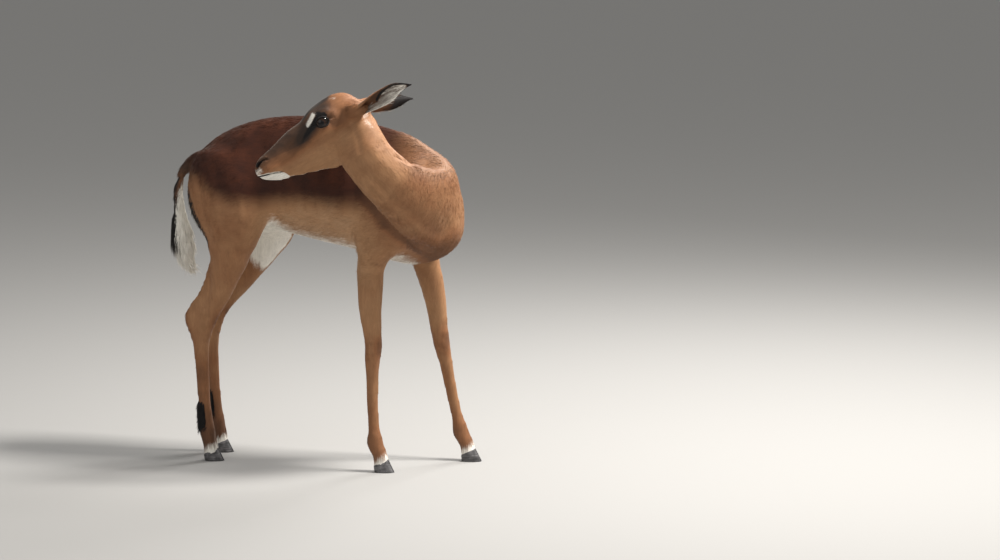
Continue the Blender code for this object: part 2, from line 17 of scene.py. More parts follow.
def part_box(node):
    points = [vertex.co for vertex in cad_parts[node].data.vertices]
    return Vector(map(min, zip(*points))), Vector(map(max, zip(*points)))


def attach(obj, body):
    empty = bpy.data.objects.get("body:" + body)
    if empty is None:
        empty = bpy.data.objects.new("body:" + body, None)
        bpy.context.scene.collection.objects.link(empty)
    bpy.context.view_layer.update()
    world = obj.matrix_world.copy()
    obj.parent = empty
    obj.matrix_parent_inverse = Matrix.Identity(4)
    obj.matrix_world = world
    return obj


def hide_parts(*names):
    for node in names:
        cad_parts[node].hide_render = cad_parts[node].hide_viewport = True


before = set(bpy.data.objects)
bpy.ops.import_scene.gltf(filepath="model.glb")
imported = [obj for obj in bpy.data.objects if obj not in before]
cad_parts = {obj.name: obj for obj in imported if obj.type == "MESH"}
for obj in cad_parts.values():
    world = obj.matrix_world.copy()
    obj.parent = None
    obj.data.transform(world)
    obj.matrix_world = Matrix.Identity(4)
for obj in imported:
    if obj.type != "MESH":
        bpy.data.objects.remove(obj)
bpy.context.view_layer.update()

# %% [markdown]
# The solids were drawn round the chest and then moved a little so that the middle of their
# box stands over the origin. Body places below are written before that move, which is
# easier to read, with the chest's middle at x = 0 and the spine's plane at y = 0.
# The head has axes of its own: ahead to the nose, crown-wards, and towards its left cheek.

# %% Her body's frame and her head's own frame
MOVE = np.array([0.025, 0.065, 0.0])
SIDES = ((1, "left"), (-1, "right"))
nose_way = Vector((-0.733, -0.351, -0.583)).normalized()
crown_way = (Vector((0, 0, 1)) - nose_way * nose_way.z).normalized()
HEAD_AXES = np.array([nose_way, crown_way, crown_way.cross(nose_way)])
AHEAD, CROWN, CHEEK = HEAD_AXES


def middle(node):
    low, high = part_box(node)
    return np.array((low + high) / 2)


EYES_AHEAD, EYES_UP = 0.096, 0.003         # the place between the eyes, from the poll
EYES = {side: middle("eye_" + word) for side, word in SIDES}
EYE_RADIUS = (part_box("eye_left")[1].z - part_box("eye_left")[0].z) / 2
POLL = (EYES[1] + EYES[-1]) / 2 - AHEAD * EYES_AHEAD - CROWN * EYES_UP


def on_head(ahead, up, left):
    return POLL + AHEAD * ahead + CROWN * up + CHEEK * left


def to_head(points):
    return (points - POLL) @ HEAD_AXES.T


print("poll", POLL.round(3), "eye radius", round(EYE_RADIUS, 4))

# %% [markdown]
# The camera stands eleven metres off on her right, a little ahead of square and slightly
# above, with a long lens, so that she is drawn almost without perspective. It aims to the
# right of her, which leaves her standing in the left part of the frame.

# %% Camera
VIEW_TURN, VIEW_RISE, VIEW_DISTANCE = math.radians(22), math.radians(8), 11.0
BODY_MIDDLE = Vector(MOVE) + Vector((0, 0, 0.42))
AIM_RIGHT, AIM_UP = 0.405, 0.0167          # where the lens points, from her middle
LENS, SENSOR_WIDTH = 166.3, 36


def link(name, data):
    """A new object with this mesh, lamp or camera, put in the scene."""
    obj = bpy.data.objects.new(name, data)
    bpy.context.scene.collection.objects.link(obj)
    return obj


back = Vector((math.sin(VIEW_TURN) * math.cos(VIEW_RISE),
               -math.cos(VIEW_TURN) * math.cos(VIEW_RISE), math.sin(VIEW_RISE)))
right = Vector((math.cos(VIEW_TURN), math.sin(VIEW_TURN), 0))
aim = BODY_MIDDLE + right * AIM_RIGHT + Vector((0, 0, AIM_UP))
camera = link("camera", bpy.data.cameras.new("camera"))
camera.location = BODY_MIDDLE + back * VIEW_DISTANCE
camera.rotation_euler = (aim - camera.location).to_track_quat("-Z", "Y").to_euler()
camera.data.lens = LENS
camera.data.sensor_width = SENSOR_WIDTH
bpy.context.scene.camera = camera
print("camera at", [round(v, 2) for v in camera.location])

# %% [markdown]
# The floor is plain and pale. The key lamp hangs high in front of her, over her far side,
# and gives the back, nape and chest their sheen. A larger, weaker one fills from the
# camera's side, a third lights her far edge, and the pale world lifts the shadows.

# %% Floor, world and lamps
FLOOR_HALF, FLOOR_COLOUR = 30, (0.37, 0.365, 0.355)
WORLD_COLOUR, WORLD_STRENGTH = (1.0, 0.99, 0.97, 1), 0.42
LAMPS_AIM = Vector((0, 0, 0.55))
LAMPS = {                             # place, size, power and colour
    "key": ((2.0, 0.3, 3.4), 0.9, 235, (1.0, 0.965, 0.92)),
    "fill": ((-1.6, -4.2, 2.0), 3.2, 29, (1.0, 0.98, 0.95)),
    "back_light": ((0.8, 2.4, 2.5), 1.2, 60, (1.0, 0.98, 0.96)),
}


def new_material(name, roughness):
    """A material with its node tree and its shader."""
    made = bpy.data.materials.new(name)
    made.use_nodes = True
    shader = made.node_tree.nodes["Principled BSDF"]
    shader.inputs["Roughness"].default_value = roughness
    return made, made.node_tree, shader


def plain_material(name, colour, roughness):
    made, tree, shader = new_material(name, roughness)
    shader.inputs["Base Color"].default_value = (*colour, 1)
    return made


floor_mesh = bpy.data.meshes.new("floor")
floor_mesh.from_pydata([(x * FLOOR_HALF, y * FLOOR_HALF, 0) for x, y in
                        ((-1, -1), (1, -1), (1, 1), (-1, 1))], [], [(0, 1, 2, 3)])
floor = link("floor", floor_mesh)
floor.data.materials.append(plain_material("pale_floor", FLOOR_COLOUR, 0.85))

world = bpy.data.worlds.new("pale_world")
world.use_nodes = True
world.node_tree.nodes["Background"].inputs["Color"].default_value = WORLD_COLOUR
world.node_tree.nodes["Background"].inputs["Strength"].default_value = WORLD_STRENGTH
bpy.context.scene.world = world
bpy.context.scene.view_settings.view_transform = "Standard"

for name, (place, size, power, colour) in LAMPS.items():
    lamp = link(name, bpy.data.lights.new(name, "AREA"))
    lamp.data.size, lamp.data.energy, lamp.data.color = size, power, colour
    lamp.location = place
    lamp.rotation_euler = (LAMPS_AIM - Vector(place)).to_track_quat("-Z", "Y").to_euler()
print("floor, world and", len(LAMPS), "lamps")

# %% [markdown]
# Her skin is one closed surface. The plain solids meet at thin cuts, so each copy is
# swollen until it overlaps its neighbours, and a voxel remesh melts them into one. The
# eyeballs go in too, so that the skin runs over them, where the lids will be opened.
# The original solids are never touched: only copies are merged.

# %% Melt copies of the flesh into one skin
LEGS = [f"{leg}_{side}_{part}" for leg in ("foreleg", "hindleg")
        for side in ("left", "right") for part in ("upper", "lower")]
FLESH = ["trunk", "neck", "head", "tail"] + LEGS
SKIN_VOXEL, SKIN_SWELL, EYE_SWELL, HOOF_SWELL = 0.0070, 0.0006, 0.0012, -0.0012


def part_mesh(name, swell):
    """A merged copy of a solid, moved outwards along its normals."""
    bm = bmesh.new()
    bm.from_mesh(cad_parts[name].data)
    bmesh.ops.remove_doubles(bm, verts=bm.verts, dist=1e-5)
    bm.normal_update()
    for v in bm.verts:
        v.co += v.normal * swell
    return bm


def to_mesh(bm, name):
    mesh = bpy.data.meshes.new(name)
    bm.to_mesh(mesh)
    bm.free()
    return mesh


def applied(obj):
    """The object's modifiers turned into its mesh."""
    graph = bpy.context.evaluated_depsgraph_get()
    graph.update()
    made = bpy.data.meshes.new_from_object(obj.evaluated_get(graph))
    obj.modifiers.clear()
    obj.data = made
    return obj


def melt(name, swells, voxel, balls=()):
    """Swollen copies of solids, and some balls, melted into one closed surface."""
    whole = bmesh.new()
    for node, swell in swells:
        mesh = to_mesh(part_mesh(node, swell), "part")
        whole.from_mesh(mesh)
        bpy.data.meshes.remove(mesh)
    for centre, radius in balls:
        made = bmesh.ops.create_icosphere(whole, subdivisions=3, radius=radius)
        bmesh.ops.translate(whole, verts=made["verts"], vec=Vector(centre))
    obj = link(name, to_mesh(whole, name))
    remesh = obj.modifiers.new("melt", "REMESH")
    remesh.mode = "VOXEL"
    remesh.voxel_size = voxel
    return applied(obj)


FEET = {                              # toe, cleft and turn of each foot
    "foreleg_right": (0.196, -0.086, -3), "foreleg_left": (0.338, 0.127, 5),
    "hindleg_right": (-0.245, -0.075, -3), "hindleg_left": (-0.271, 0.045, 3),
}
HOOF_NODES = [f"{leg}_hoof_{half}" for leg in FEET for half in ("inner", "outer")]
# The fleshy root of each ear, as balls in the head's frame: ahead, up, outwards, radius.
EAR_ROOTS = {1: ((0.030, -0.022, 0.034, 0.0175), (0.023, -0.023, 0.045, 0.0165),
                 (0.013, -0.024, 0.054, 0.0150), (0.004, -0.024, 0.061, 0.0125),
                 (0.030, -0.016, 0.042, 0.0180), (0.020, -0.018, 0.052, 0.0165)),
             -1: ((0.030, -0.012, 0.030, 0.0185), (0.022, -0.016, 0.041, 0.0175),
                  (0.012, -0.020, 0.050, 0.0160), (0.002, -0.025, 0.057, 0.0135),
                  (0.028, -0.006, 0.040, 0.0180), (0.018, -0.010, 0.049, 0.0165))}
ear_roots = [(on_head(a, u, c * side), r) for side, _ in SIDES for a, u, c, r in EAR_ROOTS[side]]
swells = [(name, SKIN_SWELL) for name in FLESH]
swells += [("eye_" + word, EYE_SWELL) for _, word in SIDES]
swells += [(name, HOOF_SWELL) for name in HOOF_NODES]
skin = melt("skin", swells, SKIN_VOXEL, ear_roots)
print("skin melted:", len(skin.data.vertices), "points")

# %% [markdown]
# The remesh leaves the solids' flat facets in the skin. Smoothing alone would make the
# thin legs thinner, so each pull inwards is followed by a slightly larger push outwards.
# These helpers work on whole arrays of points at once, which is quick.

# %% Helpers to read, write and smooth a mesh
def read(items, field, width=1, kind=float):
    """One field of a mesh's points, edges, corners or faces, as an array."""
    flat = np.empty(len(items) * width, kind)
    items.foreach_get(field, flat)
    return flat.reshape(-1, width) if width > 1 else flat


def points_of(mesh):
    return read(mesh.vertices, "co", 3)


def normals_of(mesh):
    return read(mesh.vertices, "normal", 3)


def edges_of(mesh):
    return read(mesh.edges, "vertices", 2, int)


def set_points(mesh, points):
    mesh.vertices.foreach_set("co", points.astype(np.float32).ravel())
    mesh.update()


def keep_values(mesh, name, kind, values, domain="POINT"):
    """Keeps values on the mesh, where the materials can read them by name."""
    layer = mesh.attributes.new(name, kind, domain)
    field = "color" if kind == "FLOAT_COLOR" else "vector"
    layer.data.foreach_set(field, values.astype(np.float32).ravel())


def neighbours_mean(values, edges):
    a, b = edges[:, 0], edges[:, 1]
    n = len(values)
    count = np.bincount(a, minlength=n) + np.bincount(b, minlength=n)
    total = np.stack([np.bincount(a, values[b, k], n) + np.bincount(b, values[a, k], n)
                      for k in range(values.shape[1])], 1)
    return total / np.maximum(count, 1)[:, None]


def relax(mesh, rounds, weight=1.0, push=1.04):
    """Smooths without shrinking: each pull is followed by a slightly larger push."""
    edges = edges_of(mesh)
    points = points_of(mesh)
    weight = np.broadcast_to(np.asarray(weight, float), (len(points),))[:, None]
    for _ in range(rounds):
        for step in (0.5, -0.5 * push):
            points = points + (neighbours_mean(points, edges) - points) * step * weight
    set_points(mesh, points)


def ramp(values, low, high):
    """0 below low, 1 above high, and a smooth rise between them."""
    t = np.clip((values - low) / (high - low), 0, 1)
    return t * t * (3 - 2 * t)


def fall(values, low, high):
    """1 below low, 0 above high, and a smooth drop between them."""
    return ramp(-values, -high, -low)


relax(skin.data, 14)
print("skin smoothed")

# %% [markdown]
# Each point of the skin needs to know which part of the body it belongs to. The nearest
# solid says so. Fine features need small faces, so legs and head are divided once, the
# face again, and the lids, nostrils and mouth once more.

# %% Name every point by its nearest solid, and divide where detail is wanted
def nearest_part(points, reach=0.06):
    best = np.full(len(points), 9.0)
    part = np.zeros(len(points), int)
    for k, name in enumerate(FLESH):
        low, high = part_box(name)
        inside = np.all((points > np.array(low) - reach) & (points < np.array(high) + reach), 1)
        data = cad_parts[name].data
        tree = BVHTree.FromPolygons([v.co for v in data.vertices],
                                    [tuple(p.vertices) for p in data.polygons])
        for i in np.nonzero(inside)[0]:
            gap = tree.find_nearest(points[i])[3]
            if gap < best[i]:
                best[i], part[i] = gap, k
    return part


def divide(mesh, chosen):
    """Splits the edges whose two ends are both chosen."""
    bm = bmesh.new()
    bm.from_mesh(mesh)
    edges = [e for e in bm.edges if chosen[e.verts[0].index] and chosen[e.verts[1].index]]
    bmesh.ops.subdivide_edges(bm, edges=edges, cuts=1, use_grid_fill=True)
    bm.to_mesh(mesh)
    bm.free()


def near_line(points, line):
    """Distance of each point from a bent line."""
    best = np.full(len(points), 9.0)
    line = np.array(line, float)
    for a, b in zip(line[:-1], line[1:]):
        t = np.clip((points - a) @ (b - a) / max((b - a) @ (b - a), 1e-12), 0, 1)
        best = np.minimum(best, np.linalg.norm(points - (a + t[:, None] * (b - a)), axis=1))
    return best


MOUTH = [(0.2925, -0.0165), (0.283, -0.0190), (0.268, -0.0245), (0.254, -0.0310),
         (0.240, -0.0385)]
NOSTRIL = [(0.2870, 0.0010), (0.2800, 0.0055), (0.2700, 0.0090), (0.2600, 0.0098),
           (0.2510, 0.0080)]
LEG_TOP = 0.40                        # above this a leg is as coarse as the trunk

part = nearest_part(points_of(skin.data))
a, n, c = to_head(points_of(skin.data)).T             # ahead, up and towards the left cheek
limb = np.array([name in LEGS for name in FLESH])[part]
limb &= points_of(skin.data)[:, 2] < LEG_TOP
divide(skin.data, limb | ((part == FLESH.index("head")) & (a > -0.02)))
relax(skin.data, 3)
print("legs and head divided:", len(skin.data.vertices), "points")

# The face is smoothed plainly, once all over and once more below, before its next division.
a, n, c = to_head(points_of(skin.data)).T
whole_face = ramp(a, 0.04, 0.08) * fall(a, 0.265, 0.285) * ramp(n, -0.13, -0.10)
whole_face *= np.abs(c) < 0.070
relax(skin.data, 9, whole_face, 0.0)
relax(skin.data, 8, whole_face * ramp(-n, 0.015, 0.04) * fall(a, 0.22, 0.25), 0.0)

a, n, c = to_head(points_of(skin.data)).T
on_face = (a > 0.050) & (a < 0.32) & (np.abs(c) < 0.07) & (n > -0.060 - a * 0.2)
divide(skin.data, on_face)
relax(skin.data, 3)
print("face divided:", len(skin.data.vertices), "points")

head_at = to_head(points_of(skin.data))
a, n, c = head_at.T
at_eye = np.min([np.linalg.norm(points_of(skin.data) - EYES[s], axis=1) for s, _ in SIDES], 0)
at_front = (a > 0.23) & (np.abs(c) < 0.05)
fine = (at_eye < 0.034) & (np.abs(c) > 0.020)
fine |= at_front & (near_line(head_at[:, :2], NOSTRIL) < 0.010)
fine |= at_front & (near_line(head_at[:, :2], MOUTH) < 0.008)
divide(skin.data, fine)
relax(skin.data, 2)
print("skin divided:", len(skin.data.vertices), "points")

# %% [markdown]
# Now the skin is sculpted by short functions instead of by hand. A stroke raises or sinks
# the skin along a bent line, fading to each side. Most strokes are drawn in side view, in
# her own axes or the head's, and act only on skin that faces sideways, on both sides alike.

# %% The sculpting stroke
def stroke(points, normals, flat, line, width, height, mask=1.0):
    """Moves skin along its normals near a line that is drawn in a flat view."""
    near = np.exp(-(near_line(flat, line) / width) ** 2)
    return points + normals * (near * height * mask)[:, None]


def strokes(points, normals, flat, rows, mask):
    """Several strokes, each a line with its width and height in millimetres."""
    for line, width, height in rows:
        points = stroke(points, normals, flat, line, width / 1000, height / 1000, mask)
    return points


# line of (ahead, up) in metres, width and height in millimetres
HEAD_STROKES = [
    ([(0.088, -0.026), (0.120, -0.026), (0.155, -0.031), (0.190, -0.038)], 7, 1.6),   # cheekbone
    ([(0.140, 0.006), (0.170, 0.000), (0.200, -0.004)], 10, -1.6),          # beside the bridge
    ([(0.075, -0.058), (0.092, -0.066)], 22, 2.2),                          # jaw muscle
    ([(0.124, -0.044), (0.132, -0.066), (0.134, -0.088)], 6, -1.5),         # its front edge
    ([(0.048, -0.030), (0.052, -0.070), (0.066, -0.100)], 6, -1.6),         # behind the jaw
    ([(0.052, 0.014), (0.060, 0.020)], 12, -2.2),                           # temple
    ([(0.074, 0.021), (0.090, 0.0285), (0.108, 0.0270), (0.122, 0.020)], 5.5, 2.4),   # brow
    ([(0.135, -0.052), (0.170, -0.050), (0.215, -0.042)], 8, -1.4),         # cheek hollow
    ([(0.150, -0.086), (0.190, -0.073), (0.225, -0.058)], 5, 1.0),          # jaw bone
    ([(0.262, -0.012), (0.246, -0.022)], 9, 1.4),                           # upper lip
    ([(0.272, -0.036), (0.254, -0.045)], 7, 1.3),                           # lower lip
    ([(0.240, -0.040), (0.232, -0.045)], 4, -1.3),                          # mouth's corner
    ([(0.122, 0.006), (0.140, -0.001), (0.158, -0.007)], 3.5, -1.3),        # tear gland
]
FACE_RIMS = [([(a, n + 0.0048) for a, n in MOUTH], 3.2, 0.9),
             ([(a, n - 0.0048) for a, n in MOUTH], 3.2, 0.9),
             ([(a, n + 0.0052) for a, n in NOSTRIL], 3.0, 1.3),
             ([(a - 0.003, n - 0.0050) for a, n in NOSTRIL[:4]], 3.0, 1.0)]
MOUTH_CUT = [(MOUTH, 1.7, -3.6)]
NOSTRIL_CUTS = [(NOSTRIL, 1.9, -4.0), (NOSTRIL[:3], 3.0, -3.4)]


def sculpt_head(obj):
    points, normals = points_of(obj.data), normals_of(obj.data)
    at = to_head(points)
    a, n, c = at.T
    on_skull = ramp(a, -0.01, 0.03) * (np.abs(c) < 0.075) * (a < 0.33)
    on_skull = on_skull * ramp(n, -0.135, -0.105)
    sideways = ramp(np.abs(normals @ CHEEK), 0.15, 0.55)
    points = strokes(points, normals, at[:, :2], HEAD_STROKES + FACE_RIMS, sideways * on_skull)
    points = strokes(points, normals, at[:, :2], MOUTH_CUT, on_skull)
    points = strokes(points, normals, at[:, :2], NOSTRIL_CUTS,
                     ramp(np.abs(c), 0.002, 0.005) * on_skull)
    # The groove down the middle of the nose and lip, and the shallow one along the bridge.
    lip = np.exp(-(c / 0.0016) ** 2) * (ramp(a, 0.284, 0.288) * (n > -0.017)) * on_skull
    bridge = np.exp(-(c / 0.006) ** 2) * ramp(a, 0.12, 0.16) * fall(a, 0.24, 0.26) * (n > 0.0)
    # The broad forms: a rounded poll, a dip below the eyes, a fuller jaw and chin.
    poll = np.exp(-(near_line(at, [(0.040, 0.038, 0), (0.010, 0.020, 0)]) / 0.020) ** 2)
    upward, edges = (normals @ CROWN)[:, None], edges_of(obj.data)
    for _ in range(30):
        upward = neighbours_mean(upward, edges)
    upward = upward[:, 0]
    dip = np.exp(-((a - 0.140) / 0.022) ** 2) * ramp(upward, 0.15, 0.70)
    below = ramp(-upward, 0.30, 0.80)
    jaw = ramp(a, 0.090, 0.140) * fall(a, 0.235, 0.262) * below
    chin = np.exp(-((a - 0.256) / 0.016) ** 2) * below
    form = poll * 0.0050 + (dip * -0.0050 + jaw * 0.0062 + chin * 0.0022) * on_skull
    points += normals * (lip * -0.0012 + bridge * on_skull * -0.0007 + form)[:, None]
    set_points(obj.data, points)


sculpt_head(skin)
print("head sculpted with", len(HEAD_STROKES), "strokes")

# %% [markdown]
# The lids. The skin runs over each eyeball, so an almond is opened in it: inside the
# almond the skin drops behind the ball, and along its rim the lids keep their thickness.
# The almond is measured on the ball itself, along the eye's long axis and across it. The
# upper lid gets a crease, and a fold of skin gathers under the lower one.

# %% Open the lids over the eyeballs
EYE_TILT = math.radians(19)          # how far the front corner turns up from the head's axis
EYE_LONG = AHEAD * math.cos(EYE_TILT) + CROWN * math.sin(EYE_TILT)
EYE_SHORT = CROWN * math.cos(EYE_TILT) - AHEAD * math.sin(EYE_TILT)
HALF_EYE, LID_RISE, LID_FALL = 0.0205, 0.0128, 0.0096       # measured over the ball
LID_THICKNESS, BEHIND_LIDS = 0.0009, 0.0035      # over the ball, and how far inside it skin drops
LID_FOLDS = (                        # distance from the rim, width, and height above and below
    (0.0014, 0.0014, 0.0005, 0.0005),            # the rim's own bead
    (0.0052, 0.0012, -0.0010, -0.0006),          # the crease
    (0.0085, 0.0022, 0.0012, 0.0004),            # the soft fold beyond it
)


def eye_field(points, side):
    """Distance inside the almond, place along and across it, and the way from the ball."""
    away = points - EYES[side]
    length = np.linalg.norm(away, axis=1)
    unit = away / length[:, None]
    turn = np.arccos(np.clip(unit @ CHEEK * side, -1, 1))
    spread = EYE_RADIUS * turn / np.maximum(np.sin(turn), 1e-6)
    along, across = unit @ EYE_LONG * spread, unit @ EYE_SHORT * spread
    bow = np.clip(1 - ((along - 0.0005) / HALF_EYE) ** 2, -3, 1)
    rise = np.sign(bow) * np.abs(bow) ** 0.75
    inside = np.minimum(LID_RISE * rise - across, across + LID_FALL * rise)
    inside = np.where(turn < 1.7, inside, -0.03)
    return inside, along, across, unit, length


def open_lids(obj):
    points = points_of(obj.data)
    for side, _ in SIDES:
        inside, _, across, unit, length = eye_field(points, side)
        near = (length < 0.034) & (inside > -0.0125)
        lid = LID_THICKNESS
        for away, width, above, below in LID_FOLDS:
            height = np.where(across > 0, above, below)
            lid = lid + height * np.exp(-((inside + away) / width) ** 2)
        over = EYE_RADIUS + lid
        fade = ramp(inside, -0.0120, -0.0040)
        shaped = over * fade + length * (1 - fade)
        drop = ramp(inside, -0.0002, 0.0010)
        wanted = shaped * (1 - drop) + (EYE_RADIUS - BEHIND_LIDS) * drop
        points = np.where(near[:, None], EYES[side] + unit * wanted[:, None], points)
    set_points(obj.data, points)


open_lids(skin)
print("lids opened")

# %% [markdown]
# The body's strokes: shoulder blade, ribs, flank, hip, thigh and shin. The legs get the
# groove in front of the tendons, the small bones of the knee and the cleft of the foot.

# %% Sculpt trunk, neck and legs
# line of (x, z), width and height in millimetres, and the side: -1 right, 1 left, 0 both
BODY_STROKES = [
    ([(0.145, 0.790), (0.185, 0.705), (0.225, 0.628)], 15, 2.6, 0),        # shoulder blade
    ([(0.098, 0.775), (0.108, 0.690), (0.098, 0.610)], 17, -3.0, 0),       # behind it
    ([(0.225, 0.640), (0.190, 0.580)], 15, -1.8, 0),                       # below the point
    ([(0.150, 0.640), (0.128, 0.580)], 26, 3.4, -1),                       # upper arm
    ([(0.190, 0.630), (0.200, 0.570)], 26, 3.0, 1),
    ([(0.108, 0.556), (0.112, 0.530)], 12, 2.4, -1),                       # elbow
    ([(0.165, 0.545), (0.180, 0.525)], 12, 2.2, 1),
    ([(-0.150, 0.765), (-0.130, 0.735)], 30, -3.6, 0),                     # hollow flank
    ([(-0.190, 0.778), (-0.205, 0.760)], 15, 2.6, 0),                      # hip bone
    ([(-0.135, 0.612), (-0.160, 0.580)], 12, 2.6, 0),                      # fold of the flank
    ([(-0.300, 0.690), (-0.282, 0.610), (-0.262, 0.535)], 10, -2.4, 0),    # groove of the thigh
    ([(-0.215, 0.700), (-0.190, 0.610)], 26, 2.6, 0),                      # front of the thigh
    ([(-0.245, 0.640), (-0.238, 0.560)], 15, 1.8, 0),
    ([(-0.178, 0.560), (-0.190, 0.535)], 12, 1.8, 0),                      # stifle
    # In front of each hock's tendon.
    ([(-0.284, 0.500), (-0.276, 0.420), (-0.280, 0.350), (-0.286, 0.305)], 6, -2.6, -1),
    ([(-0.309, 0.500), (-0.301, 0.420), (-0.305, 0.350), (-0.311, 0.305)], 6, -2.6, 1),
    ([(-0.262, 0.470), (-0.256, 0.400)], 11, 1.6, 0),                      # calf
]
RIBS = [([(x, 0.760), (x - 0.022, 0.690), (x - 0.016, 0.610)], 8, 0.28, 0)
        for x in np.arange(0.060, -0.120, -0.027)]
NECK_STROKES = [                      # the same in three dimensions, with x, y and z
    ([(0.126, -0.215, 0.800), (0.180, -0.228, 0.735), (0.236, -0.195, 0.665),
      (0.270, -0.140, 0.600), (0.290, -0.085, 0.560)], 9, -2.4),           # gullet groove
    ([(0.160, -0.224, 0.830), (0.210, -0.222, 0.765), (0.262, -0.190, 0.700),
      (0.305, -0.125, 0.640)], 12, 1.8),                                   # neck muscle
    # The fold behind the jaw.
    ([(0.186, -0.196, 0.850), (0.204, -0.200, 0.818), (0.210, -0.208, 0.790)], 4, -2.6),
    ([(0.150, -0.150, 0.690), (0.185, -0.138, 0.640), (0.215, -0.132, 0.600),
      (0.255, -0.125, 0.560), (0.290, -0.085, 0.530)], 10, -9.0),          # crease under the neck
    ([(0.190, -0.222, 0.690), (0.235, -0.200, 0.640), (0.275, -0.165, 0.595),
      (0.305, -0.105, 0.555)], 16, 6.0),                                   # gullet above it
    # Folds and hollows where the neck bends back on itself.
    ([(0.246, -0.186, 0.766), (0.262, -0.172, 0.748), (0.266, -0.130, 0.742)], 5, -3.2),
    ([(0.262, -0.186, 0.772), (0.280, -0.160, 0.748), (0.284, -0.120, 0.744)], 6, 2.2),
    ([(0.214, -0.120, 0.740), (0.245, -0.135, 0.757), (0.270, -0.160, 0.752)], 13, -2.6),
    ([(0.110, -0.200, 0.755), (0.128, -0.213, 0.742), (0.150, -0.222, 0.735)], 5, -1.0),
]
LEG_LINES = {                         # the middle line of each leg in side view, downwards
    "foreleg_right": [(0.1365, 0.385), (0.143, 0.325), (0.1455, 0.300), (0.143, 0.270),
                      (0.142, 0.235), (0.142, 0.171), (0.1445, 0.105), (0.147, 0.085)],
    "foreleg_left": [(0.235, 0.385), (0.240, 0.325), (0.243, 0.300), (0.247, 0.270),
                     (0.254, 0.235), (0.2645, 0.171), (0.2765, 0.110), (0.282, 0.086)],
    "hindleg_right": [(-0.268, 0.375), (-0.288, 0.343), (-0.298, 0.312), (-0.302, 0.270),
                      (-0.2985, 0.200), (-0.294, 0.130), (-0.289, 0.085)],
    "hindleg_left": [(-0.290, 0.375), (-0.313, 0.343), (-0.324, 0.312), (-0.328, 0.270),
                     (-0.3245, 0.200), (-0.320, 0.130), (-0.315, 0.085)],
}


TENDON_BEHIND, TENDON_GROOVE = 0.0050, (0.0026, -0.0016)        # width and height
KNEE_BONES = ((0.015, 0.0006), (0.0, -0.0004), (-0.014, 0.0006))    # above the knee, and height
KNEE_BONE_WIDTH, CLEFT_WIDTH, CLEFT_DEPTH = 0.0085, 0.0028, 0.0030


def in_part(parts, *words):
    """Marks the points whose part's name starts with any of the words."""
    wanted = np.array([any(n.startswith(w) for w in words) for n in FLESH])
    return wanted[parts]


def spine_turn(x):
    """How far the spine's plane swings to her right at this place along her."""
    return -0.25 * np.maximum(0, x + 0.05) ** 2


def knee_of(leg):
    """The knee of a foreleg, or the hock of a hind leg."""
    return LEG_LINES[leg][2 if leg.startswith("fore") else 1]


def sculpt_body(obj, parts):
    points, normals = points_of(obj.data), normals_of(obj.data)
    own = points - MOVE
    side_view = own[:, [0, 2]]
    sideways = ramp(np.abs(normals[:, 1]), 0.25, 0.65)
    hand = np.sign(own[:, 1] - spine_turn(own[:, 0]))
    trunk = in_part(parts, "trunk", "hindleg", "foreleg").astype(float)
    for *row, side in BODY_STROKES + RIBS:
        points = strokes(points, normals, side_view, [row],
                         sideways * trunk * (1.0 if side == 0 else hand == side))
    mask = in_part(parts, "neck", "trunk", "head").astype(float)
    points = strokes(points, normals, own, NECK_STROKES, mask)
    for leg, line in LEG_LINES.items():
        mask = in_part(parts, leg).astype(float) * sideways
        tendon = [(x - TENDON_BEHIND, z) for x, z in line[3:]]
        points = stroke(points, normals, side_view, tendon, *TENDON_GROOVE, mask)
        x, z = knee_of(leg)
        for rise, height in KNEE_BONES:
            bone = [(x - 0.008, z + rise), (x + 0.012, z + rise)]
            points = stroke(points, normals, side_view, bone, KNEE_BONE_WIDTH, height, mask)
        toe_x, cleft_y, turn = FEET[leg]
        turn = math.radians(turn)
        across = (own[:, 1] - cleft_y) * math.cos(turn) - (own[:, 0] - toe_x) * math.sin(turn)
        low = in_part(parts, leg) * fall(own[:, 2], 0.040, 0.075)
        points += normals * (np.exp(-(across / CLEFT_WIDTH) ** 2) * low * -CLEFT_DEPTH)[:, None]
    set_points(obj.data, points)


parts = nearest_part(points_of(skin.data))
sculpt_body(skin, parts)
print("body sculpted with", len(BODY_STROKES + RIBS + NECK_STROKES), "strokes")

# %% [markdown]
# Neck and tail bend, so places on them are told by their middle lines: how far along the
# line a point lies, which way the line runs there, and how far the point is from it.

# %% The middle lines of neck and tail
NECK_LINE = np.array([(0.110, -0.174, 0.858), (0.124, -0.176, 0.832), (0.147, -0.186, 0.793),
                      (0.186, -0.188, 0.741), (0.241, -0.163, 0.685), (0.283, -0.107, 0.645),
                      (0.274, -0.046, 0.640), (0.220, -0.010, 0.650)])
TAIL_LINE = np.array([(-0.322, 0, 0.728), (-0.352, 0, 0.712), (-0.378, 0, 0.684),
                      (-0.389, 0, 0.645), (-0.388, 0, 0.590), (-0.384, 0, 0.540),
                      (-0.377, 0, 0.500), (-0.363, 0, 0.465), (-0.353, 0, 0.446)])


def along_line(points, line):
    """The nearest place on a bent line: distance run, its direction, and the offset."""
    best = np.full(len(points), 9.0)
    run, way, off = np.zeros(len(points)), np.zeros((len(points), 3)), np.zeros((len(points), 3))
    start = 0.0
    for a, b in zip(line[:-1], line[1:]):
        span = b - a
        length = np.linalg.norm(span)
        t = np.clip((points - a) @ span / length ** 2, 0, 1)
        offset = points - (a + t[:, None] * span)
        gap = np.linalg.norm(offset, axis=1)
        closer = gap < best
        best = np.where(closer, gap, best)
        run = np.where(closer, start + t * length, run)
        way = np.where(closer[:, None], span / length, way)
        off = np.where(closer[:, None], offset, off)
        start += length
    return run, way, off


def line_length(line):
    return np.linalg.norm(np.diff(line, axis=0), axis=1).sum()


print("neck", round(line_length(NECK_LINE), 3), "m, tail", round(line_length(TAIL_LINE), 3), "m")

